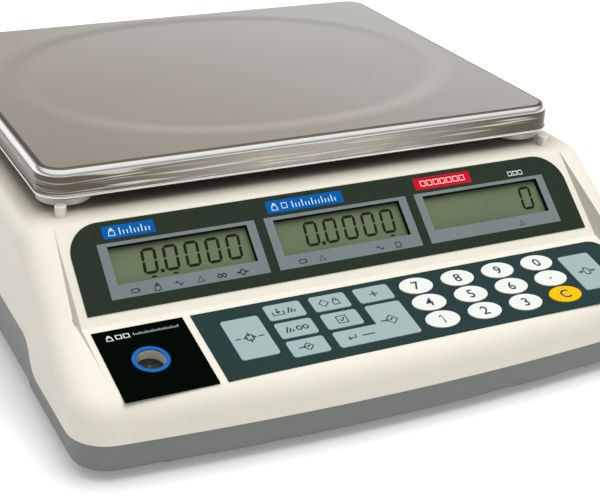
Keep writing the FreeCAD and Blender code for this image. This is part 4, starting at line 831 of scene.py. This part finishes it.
POUCH = [loop(-0.55, -0.8, 0.55, 0.3), [(-0.25, 0.3), (-0.25, 0.8), (0.25, 0.8), (0.25, 0.3)]]
DASH = [[(-1.6, 0), (1.6, 0)]]
BATTERY = [loop(-0.9, -0.45, 0.75, 0.45), [(1.0, -0.2), (1.0, 0.2)]]
WAVE = [[(-0.9, 0), (-0.6, 0.4), (-0.2, 0.4), (0.2, -0.4), (0.6, -0.4), (0.9, 0)]]
TRIANGLE = [[(-0.8, -0.6), (0.8, -0.6), (0, 0.75), (-0.8, -0.6)]]

KEY_FIGURES = {"key_7": "7", "key_8": "8", "key_9": "9", "key_0": "0", "key_4": "4", "key_5": "5",
               "key_6": "6", "key_2": "2", "key_3": "3", "key_point": ".", "key_clear": "C"}
KEY_PICTOGRAMS = {
    "key_tare": moved(INTO_TRAY, -1.3) + moved(HATCHING, 1.2),
    "key_preset": moved(DIAMOND, -1.2) + moved(POUCH, 1.1),
    "key_plus": moved(PLUS, 0.0, 0.0, 0.8),
    "key_sample": moved(HATCHING, -1.2) + moved(TWO_RINGS, 1.1),
    "key_unit": moved(BOXED_TICK, 0.0, 0.0, 1.1),
    "key_memory": FED_DIAMOND,
    "key_enter": moved(FED_DIAMOND, 0.2, 0.0, 1.25),
    "key_zero": moved(ZERO_MARK, 0.0, 0.0, 1.25),
    "key_calibrate": moved(TARGET, 0.0, 0.0, 1.2) + moved(DASH, -2.1, 0.0, 0.3) + moved(DASH, 2.1, 0.0, 0.3)}
ENTER_NOTE = moved(RETURN_ARROW, -1.2) + moved(DASH, 2.9)


def key_legends(blue):
    """Every key carries its figure or pictogram."""
    for node, text in KEY_FIGURES.items():
        height = POINT_HEIGHT if text == "." else FIGURE_HEIGHT
        legend = printed_text("legend_" + node, text, height, blue)
        settle(legend, face_of(node)["matrix"], BODY_OF[node])
    one = printed_strokes("legend_key_1", ONE, FIGURE_HEIGHT / 2, ONE_STROKE, blue)
    settle(one, face_of("key_1")["matrix"], BODY_OF["key_1"])
    for node, lines in KEY_PICTOGRAMS.items():
        face = face_of(node)
        legend = printed_strokes("legend_" + node, lines, PICTOGRAM_SIZE, STROKE, blue)
        place = face["matrix"]
        if node == "key_enter":
            quarter = face["width"] / 4
            note = printed_strokes("note_key_enter", ENTER_NOTE, NOTE_SIZE, STROKE, blue)
            settle(note, place @ shift(-quarter, -face["height"] / 4 - ENTER_ROW_DROP), BODY_OF[node])
            place = place @ shift(quarter, 0.0)
        settle(legend, place, BODY_OF[node])


# ---------------------------------------------------------------- display figures

def figures_tree():
    """A row of slanted seven-bar noughts, right-aligned on the origin, with a point after the first."""
    tree, given, made = new_group(
        "GeometryNodeTree", "Display figures",
        [("Geometry", "NodeSocketGeometry", None), ("Figures", "NodeSocketInt", 5),
         ("Pitch", NUMBER, 10.5 * MM), ("Width", NUMBER, 6 * MM), ("Height", NUMBER, 12 * MM),
         ("Bar", NUMBER, 1 * MM), ("Gap", NUMBER, 0.3 * MM), ("Thickness", NUMBER, 0.1 * MM),
         ("Slant", NUMBER, 0.08), ("Point", "NodeSocketBool", True), ("Ink", "NodeSocketMaterial", None)],
        [("Geometry", "NodeSocketGeometry")])

    def vector(x, y, z):
        return add_node(tree, "ShaderNodeCombineXYZ", X=x, Y=y, Z=z).outputs[0]

    def shape(kind, **inputs):
        return add_node(tree, "GeometryNode" + kind, **inputs).outputs[0]

    def join(*parts):
        joined = tree.nodes.new("GeometryNodeJoinGeometry")
        for part in parts:
            tree.links.new(part, joined.inputs[0])
        return joined.outputs[0]

    half = product(tree, given["Height"], 0.5)
    foot = product(tree, half, -1.0)
    length = calc(tree, "SUBTRACT", half, given["Gap"])
    body = shape("MeshCube", Size=vector(given["Bar"], calc(tree, "SUBTRACT", length, given["Bar"]),
                                         given["Thickness"]))
    tips = shape("MeshCube", Size=vector(product(tree, given["Bar"], TIP_SHARE), length, given["Thickness"]))
    bar = shape("ConvexHull", Geometry=join(body, tips))
    uprights = shape("MeshGrid", Size_X=given["Width"], Size_Y=half, Vertices_X=2, Vertices_Y=2)
    sides = shape("InstanceOnPoints", Points=uprights, Instance=bar)
    stretch = calc(tree, "DIVIDE", calc(tree, "SUBTRACT", given["Width"], given["Gap"]), length)
    lying = shape("Transform", Geometry=bar, Rotation=(0.0, 0.0, math.pi / 2),
                  Scale=vector(1.0, stretch, 1.0))
    ends = shape("MeshLine", Count=2, Start_Location=vector(0.0, foot, 0.0),
                 Offset=vector(0.0, given["Height"], 0.0))
    caps = shape("InstanceOnPoints", Points=ends, Instance=lying)
    first = product(tree, calc(tree, "SUBTRACT", given["Figures"], 1.0), product(tree, given["Pitch"], -1.0))
    row = shape("MeshLine", Count=given["Figures"], Start_Location=vector(first, 0.0, 0.0),
                Offset=vector(given["Pitch"], 0.0, 0.0))
    figures = shape("InstanceOnPoints", Points=row, Instance=join(sides, caps))
    dot_side = product(tree, given["Bar"], POINT_SHARE)
    dot = shape("MeshCube", Size=vector(dot_side, dot_side, given["Thickness"]))
    after_first = total(tree, first, product(tree, given["Pitch"], 0.5))
    point = shape("Transform", Geometry=dot, Translation=vector(after_first, foot, 0.0))
    pointed = add_node(tree, "GeometryNodeSwitch", {"input_type": "GEOMETRY"}, Switch=given["Point"])
    feed(tree, pointed.inputs["True"], point)
    solid = shape("RealizeInstances", Geometry=join(figures, pointed.outputs[0]))
    height = split(tree, tree.nodes.new("GeometryNodeInputPosition").outputs[0])[1]
    slanted = shape("SetPosition", Geometry=solid,
                    Offset=vector(product(tree, height, given["Slant"]), 0.0, 0.0))
    feed(tree, made["Geometry"], shape("SetMaterial", Geometry=slanted, Material=given["Ink"]))
    return tree


def from_tree(name, tree, finish, **inputs):
    """Run a geometry tree with its inputs set by socket, and keep the result as a plain mesh."""
    carrier = link(name, bpy.data.meshes.new(name))
    modifier = carrier.modifiers.new(name, "NODES")
    modifier.node_group = tree
    sockets = {item.name: item.identifier for item in tree.interface.items_tree
               if item.item_type == "SOCKET" and item.in_out == "INPUT"}
    for key, value in inputs.items():
        modifier[sockets[key]] = value
    return to_mesh(carrier, name, finish)


def display_figures(dark):
    """Figures and their pointers, printed on each display's glass."""
    tree = figures_tree()
    last = WINDOW_WIDTH / 2 - LAST_FIGURE_INSET
    pointer_height = FIGURE_LIFT - DISPLAY_FIGURE / 2 - POINTER_DROP
    for side, count, point in (("left", 5, True), ("middle", 5, True), ("right", 1, False)):
        node = "lcd_" + side
        glass_face = face_of(node)["matrix"]
        row = from_tree("figures_" + side, tree, dark, Figures=count, Pitch=FIGURE_PITCH, Width=FIGURE_WIDTH,
                        Height=DISPLAY_FIGURE, Bar=FIGURE_BAR, Gap=FIGURE_GAP, Thickness=FIGURE_THICKNESS,
                        Slant=FIGURE_SLANT, Point=point, Ink=dark)
        settle(row, glass_face @ shift(last, FIGURE_LIFT, ABOVE_GLASS), BODY_OF[node])
        for step in POINTERS[side]:
            pointer = rounded_plate("pointer_" + side + "_" + str(step + 1), POINTER_WIDTH, POINTER_HEIGHT,
                                    POINTER_CORNER, FIGURE_THICKNESS, dark)
            place = shift(last - step * FIGURE_PITCH, pointer_height, ABOVE_GLASS)
            settle(pointer, glass_face @ place, BODY_OF[node])


# middle of each bezel, and its marks with their places in mm to the right of there
BEZEL_MARKS = {
    "left": (-FRAME_PITCH, ((BATTERY, -29.0), (KETTLE_WEIGHT, -17.8), (WAVE, -6.6), (TRIANGLE, 4.6),
                            (TWO_RINGS, 15.8), (ZERO_MARK, 27.0))),
    "middle": (0.0, ((BATTERY, -28.0), (TRIANGLE, -17.1), (WAVE, 16.6), (SQUARE, 27.4))),
    "right": (FRAME_PITCH, ((TRIANGLE, 16.9),))}


def bezel_marks(blue):
    """Small status marks along the lower border of each display bezel."""
    face = face_of("display_frames")
    height = -face["height"] / 2 + MARK_LIFT
    for side, (centre, marks) in BEZEL_MARKS.items():
        for count, (lines, spot) in enumerate(marks, 1):
            mark = printed_strokes("mark_" + side + "_" + str(count), lines, MARK_SIZE, MARK_STROKE, blue)
            settle(mark, face["matrix"] @ shift(centre + spot * MM, height), BODY_OF["display_frames"])


def tags(blue, red, white):
    """Coloured tags above the displays with plain white signs, and three white squares beside the last."""
    film = face_of("display_film")
    body = BODY_OF["display_film"]
    row = film["height"] / 2 - TAG_DROP
    seven_squares = [line for step in range(7) for line in moved(SQUARE, TAG_SQUARE_PITCH * (step - 3))]
    # name, finish, left and right end in mm from the middle, sign
    for name, finish, left, right, lines in (
            ("tag_left", blue, -125.4, -98.6, moved(KETTLE_WEIGHT, -4.2) + ruler(-2.2, 9)),
            ("tag_middle", blue, -38.0, 5.7,
             moved(KETTLE_WEIGHT, -8.3) + moved(SQUARE, -5.6) + ruler(-3.4, 14)),
            ("tag_right", red, 49.5, 84.6, seven_squares)):
        place = film["matrix"] @ shift((left + right) / 2 * MM, row)
        plate = rounded_plate(name, (right - left) * MM, TAG_HEIGHT, TAG_CORNER, TAG_THICKNESS, finish)
        settle(plate, place, body)
        sign = printed_strokes("sign_" + name, lines, TAG_SIGN_SIZE, TAG_SIGN_STROKE, white,
                               TAG_SIGN_THICKNESS)
        settle(sign, place, body)
    squares = [line for step in (-1, 0, 1) for line in moved(SQUARE, SQUARES_PITCH * step)]
    sign = printed_strokes("sign_squares", squares, SQUARES_SIZE, SQUARES_STROKE, white)
    settle(sign, film["matrix"] @ shift(SQUARES_PLACE[0], row + SQUARES_PLACE[1]), body)


def badge_signs(white):
    """A plain weight sign and a fine graduated row on the badge of the level."""
    badge = face_of("level_badge")
    corner = badge["matrix"] @ shift(-badge["width"] / 2, badge["height"] / 2)
    bold_lines = moved(KETTLE_WEIGHT, 0.0) + moved(SQUARE, 2.4) + moved(SQUARE, 4.4)
    bold = printed_strokes("badge_weight", bold_lines, BADGE_BOLD_SIZE, STROKE, white)
    settle(bold, corner @ shift(*BADGE_BOLD_PLACE), BODY_OF["level_badge"])
    fine = printed_strokes("badge_scale", ruler(0.0, 22, 1.05), BADGE_FINE_SIZE, BADGE_FINE_STROKE, white)
    settle(fine, corner @ shift(*BADGE_FINE_PLACE), BODY_OF["level_badge"])


# ---------------------------------------------------------------- spirit level and switch marks

def turned(name, profile, finish):
    """A closed solid turned about z from a profile of (radius, z) points that starts and ends on the axis."""
    mesh = bpy.data.meshes.new(name)
    shape = bmesh.new()
    path = [shape.verts.new((radius, 0.0, height)) for radius, height in profile]
    edges = [shape.edges.new(pair) for pair in zip(path, path[1:])]
    bmesh.ops.spin(shape, geom=path + edges, cent=(0, 0, 0), axis=(0, 0, 1), angle=math.tau, steps=TURN_STEPS,
                   use_merge=True)
    bmesh.ops.remove_doubles(shape, verts=shape.verts, dist=SAME_SPOT)
    bmesh.ops.recalc_face_normals(shape, faces=shape.faces)
    for face in shape.faces:
        face.smooth = True
    shape.to_mesh(mesh)
    shape.free()
    return mesh_piece(mesh, name, finish)


def in_metres(profile):
    """A profile of (radius, height) points, from millimetres."""
    return [(radius * MM, height * MM) for radius, height in profile]


def spirit_level(fluid, bubble):
    """Liquid and bubble behind the window of the level."""
    disc = turned("level_fluid", in_metres(LIQUID_PROFILE), fluid)
    floor = face_of("level_window")["matrix"] @ shift(0, 0, -LIQUID_DEPTH)
    settle(disc, floor, BODY_OF["level_window"])
    blob = turned("level_bubble", in_metres(BUBBLE_PROFILE), bubble)
    settle(blob, floor @ shift(*BUBBLE_PLACE), BODY_OF["level_window"])


def rocker_marks(white):
    """The on and off marks moulded into the rocker."""
    face = face_of("power_rocker", toward=(0, 1, 0))["matrix"]
    on = printed_strokes("mark_on", [[(0, -1), (0, 1)]], ON_SIZE, ROCKER_MARK_STROKE, white)
    settle(on, face @ shift(ROCKER_MARK_SHIFT, 0), "rocker")
    off = printed_strokes("mark_off", [RING], OFF_SIZE, ROCKER_MARK_STROKE, white)
    settle(off, face @ shift(-ROCKER_MARK_SHIFT, 0), "rocker")


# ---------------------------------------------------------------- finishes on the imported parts

cream = plastic("Cream moulded shell", CREAM, **SHELL_SKIN, dust=0.06, wear_shift=1.08)
grey_tray = plastic("Grey moulded tray", rgb(0.192, 0.206, 0.194), 0.5, grain=0.8 * MM, depth=0.03 * MM,
                    mottle=0.05, dust=0.12, wear=0.35, wear_shift=1.35)
display_velvet = plastic("Dark display overlay", rgb(0.022, 0.034, 0.022), **OVERLAY_SKIN)
keypad_velvet = plastic("Dark keypad overlay", rgb(0.019, 0.042, 0.042), **OVERLAY_SKIN)
badge_black = plastic("Black badge film", rgb(0.0012, 0.003, 0.002), 0.6, grain=0.35 * MM, depth=0.002 * MM,
                      mottle=0.1, dust=0.0, wear=0.0, Specular_IOR_Level=0.0)
white_cap = plastic("White key cap", rgb(0.78, 0.81, 0.775), 0.42, **CAP_SKIN, mottle=0.02, dust=0.01,
                    wear=0.05, Specular_IOR_Level=0.2)
grey_cap = plastic("Grey key cap", rgb(0.33, 0.445, 0.44), 0.45, **CAP_SKIN, mottle=0.03, dust=0.02,
                   wear=0.1, Specular_IOR_Level=0.15)
yellow_cap = plastic("Yellow key cap", rgb(0.86, 0.5, 0.0), 0.42, **CAP_SKIN, mottle=0.03, dust=0.0,
                     wear=0.05, Specular_IOR_Level=0.08)
ring_blue = plastic("Blue moulded ring", rgb(0.008, 0.125, 0.46), 0.35, grain=0.4 * MM, depth=0.005 * MM,
                    mottle=0.05, dust=0.0, wear=0.1, Specular_IOR_Level=0.1)
black_moulding = plastic("Black moulding", rgb(0.013, 0.013, 0.014), 0.42, grain=0.5 * MM, depth=0.012 * MM,
                         mottle=0.15, dust=0.1, wear=0.4, wear_shift=3.0)
foot_plastic = plastic("Dark foot moulding", rgb(0.022, 0.022, 0.023), 0.55, grain=0.6 * MM, depth=0.02 * MM,
                       mottle=0.12, dust=0.25, wear=0.5, wear_shift=2.4)
battery_case = plastic("Battery case", rgb(0.03, 0.032, 0.036), 0.4, grain=0.7 * MM, depth=0.02 * MM,
                       mottle=0.1, dust=0.15, wear=0.4, wear_shift=2.2)
soft_rubber = plastic("Soft black rubber", rgb(0.02, 0.02, 0.02), 0.75, grain=0.5 * MM, depth=0.03 * MM,
                      mottle=0.15, dust=0.3, wear=0.2, wear_shift=2.0)
zinc = metal("Zinc plated steel", rgb(0.58, 0.59, 0.6), 0.32, streak_length=6 * MM, streak_width=0.3 * MM)
milled = metal("Milled aluminium", rgb(0.72, 0.73, 0.74), 0.34, streak_length=25 * MM, streak_width=0.35 * MM)
cast = metal("Sand-cast alloy", rgb(0.42, 0.42, 0.41), 0.55, streak_length=1.5 * MM, streak_width=1.2 * MM,
             depth=0.12 * MM)
brass = metal("Turned brass", rgb(0.72, 0.48, 0.16), 0.28, streak_length=4 * MM, streak_width=0.2 * MM)
legend_ink = ink("Dark blue legend ink", rgb(0.028, 0.05, 0.095), Specular_IOR_Level=0.1)
mark_ink = ink("Dark blue mark ink", rgb(0.02, 0.03, 0.045), Specular_IOR_Level=0.05)
white_ink = ink("White legend ink", rgb(0.75, 0.8, 0.82))
blue_tag = ink("Blue tag print", rgb(0.0, 0.11, 0.42), Specular_IOR_Level=0.05)
red_tag = ink("Red tag print", rgb(0.62, 0.004, 0.02), Specular_IOR_Level=0.05)
figure_ink = ink("Dark display figure", rgb(0.012, 0.02, 0.009), Specular_IOR_Level=0.03)
bubble_skin = ink("Level bubble", rgb(0.45, 0.42, 0.33), 0.2)
board = circuit_board()
glass = display_glass()

FINISHES = {
    "weighing_pan": pan_steel(), "top_cover": cover_skin(), "support_cups": cream, "base_housing": grey_tray,
    "battery_door": grey_tray, "display_film": display_velvet, "keypad_film": keypad_velvet,
    "level_badge": badge_black, "display_frames": bezel_print(), "level_ring": ring_blue,
    "level_housing": black_moulding, "level_window": vial_glass(), "power_rocker": black_moulding,
    "power_socket": black_moulding, "switch_frame": black_moulding, "battery": battery_case,
    "chassis_plate": zinc, "cover_screws": zinc, "small_screws": zinc, "plate_screws": zinc,
    "load_cell_bolts": zinc, "platform_bolts": zinc, "foot_inserts": brass, "load_cell": milled,
    "load_cell_riser": milled, "platform_spacer": milled, "pan_support": cast, "pan_pads": soft_rubber,
    "key_clear": yellow_cap, "main_board": board, "display_board": board, "keypad_board": board,
}
for node in NODES:
    if node in FINISHES:
        dress(node, FINISHES[node])
    elif node in KEY_PICTOGRAMS:
        dress(node, grey_cap)
    elif node.startswith("key_"):
        dress(node, white_cap)
    elif node.startswith("lcd_"):
        dress(node, glass)
    elif node.startswith("foot_"):
        dress(node, foot_plastic)

key_legends(legend_ink)
display_figures(figure_ink)
bezel_marks(mark_ink)
tags(blue_tag, red_tag, white_ink)
badge_signs(white_ink)
spirit_level(level_liquid(), bubble_skin)
rocker_marks(white_ink)


# ---------------------------------------------------------------- studio

def studio_camera():
    """A camera that looks down on the front and the left side, turned a little about its own axis."""
    data = bpy.data.cameras.new("camera")
    data.lens = CAMERA_LENS
    data.sensor_width = CAMERA_SENSOR
    data.clip_start, data.clip_end = CAMERA_CLIP
    made = link("camera", data)
    turn, rise = CAMERA_AZIMUTH, CAMERA_ELEVATION
    back = Vector((math.sin(turn) * math.cos(rise), -math.cos(turn) * math.cos(rise), math.sin(rise)))
    right = Vector((math.cos(turn), math.sin(turn), 0.0))
    up = back.cross(right)
    level = right * math.cos(CAMERA_ROLL) + up * math.sin(CAMERA_ROLL)
    top = -right * math.sin(CAMERA_ROLL) + up * math.cos(CAMERA_ROLL)
    matrix = Matrix((level, top, back)).transposed().to_4x4()
    matrix.translation = CAMERA_PLACE
    made.matrix_world = matrix
    bpy.context.scene.camera = made


def either(tree, *masks):
    """The largest of some masks."""
    first, *others = masks
    for other in others:
        first = calc(tree, "MAXIMUM", first, other)
    return first


def choose(tree, mask, plain, chosen):
    """Show one shader, or another where the mask is 1."""
    made = tree.nodes.new("ShaderNodeMixShader")
    return feed_places(tree, made, {0: mask, 1: plain.outputs[0], 2: chosen.outputs[0]}).outputs[0]


def studio_world():
    """Soft room light that is strongest overhead and near the ground. The backdrop is white where it is seen
    directly, and low down also where it is mirrored or seen through glass."""
    world = bpy.data.worlds.new("studio")
    world.use_nodes = True
    bpy.context.scene.world = world
    tree = world.node_tree
    tree.nodes.clear()
    height = split(tree, tree.nodes.new("ShaderNodeTexCoord").outputs["Generated"])[2]
    ramp = add_node(tree, "ShaderNodeValToRGB", Fac=height)
    elements = ramp.color_ramp.elements
    while len(elements) < len(SKY):
        elements.new(0.5)
    for element, (place, colour) in zip(elements, SKY):
        element.position = place
        element.color = rgb(*colour)
    room = add_node(tree, "ShaderNodeBackground", Color=ramp.outputs[0], Strength=SKY_STRENGTH)
    white = add_node(tree, "ShaderNodeBackground", Color=WHITE, Strength=1.0)
    rays = tree.nodes.new("ShaderNodeLightPath").outputs
    low_mirrored = product(tree, either(tree, rays["Is Glossy Ray"], rays["Is Transmission Ray"]),
                           calc(tree, "LESS_THAN", height, BACKDROP_HEIGHT))
    seen = either(tree, rays["Is Camera Ray"], low_mirrored)
    add_node(tree, "ShaderNodeOutputWorld", Surface=choose(tree, seen, room, white))


def studio_floor():
    """A pale floor that keeps the soft shadow, lifted to white where it is seen directly, in a polished
    surface or through glass."""
    mesh = bpy.data.meshes.new("floor")
    corners = [(-FLOOR_REACH, -FLOOR_REACH, 0), (FLOOR_REACH, -FLOOR_REACH, 0), (FLOOR_REACH, FLOOR_REACH, 0),
               (-FLOOR_REACH, FLOOR_REACH, 0)]
    mesh.from_pydata(corners, [], [(0, 1, 2, 3)])
    made = bpy.data.materials.new("Pale studio floor")
    made.use_nodes = True
    tree = made.node_tree
    tree.nodes.clear()
    paper = add_node(tree, "ShaderNodeBsdfDiffuse", Color=FLOOR_TONE)
    lift = add_node(tree, "ShaderNodeEmission", Color=WHITE, Strength=FLOOR_LIFT)
    lifted = feed_places(tree, tree.nodes.new("ShaderNodeAddShader"),
                         {0: paper.outputs[0], 1: lift.outputs[0]})
    rays = tree.nodes.new("ShaderNodeLightPath").outputs
    seen = either(tree, rays["Is Camera Ray"], rays["Is Glossy Ray"], rays["Is Transmission Ray"])
    add_node(tree, "ShaderNodeOutputMaterial", Surface=choose(tree, seen, paper, lifted))
    mesh.materials.append(made)
    link("floor", mesh)


def studio_lamp():
    """A broad soft lamp overhead, which isn't mirrored in glossy surfaces."""
    data = bpy.data.lights.new("overhead", "AREA")
    data.shape = "RECTANGLE"
    data.size = LAMP_WIDTH
    data.size_y = LAMP_DEPTH
    data.energy = LAMP_POWER
    data.color = LAMP_COLOUR
    made = link("overhead", data)
    made.location = LAMP_PLACE
    made.visible_glossy = False
    made.rotation_euler = (-LAMP_PLACE).to_track_quat("-Z", "Y").to_euler()


studio_camera()
studio_world()
studio_floor()
studio_lamp()

scene = bpy.context.scene
scene.view_settings.view_transform = "Standard"

bpy.context.view_layer.update()
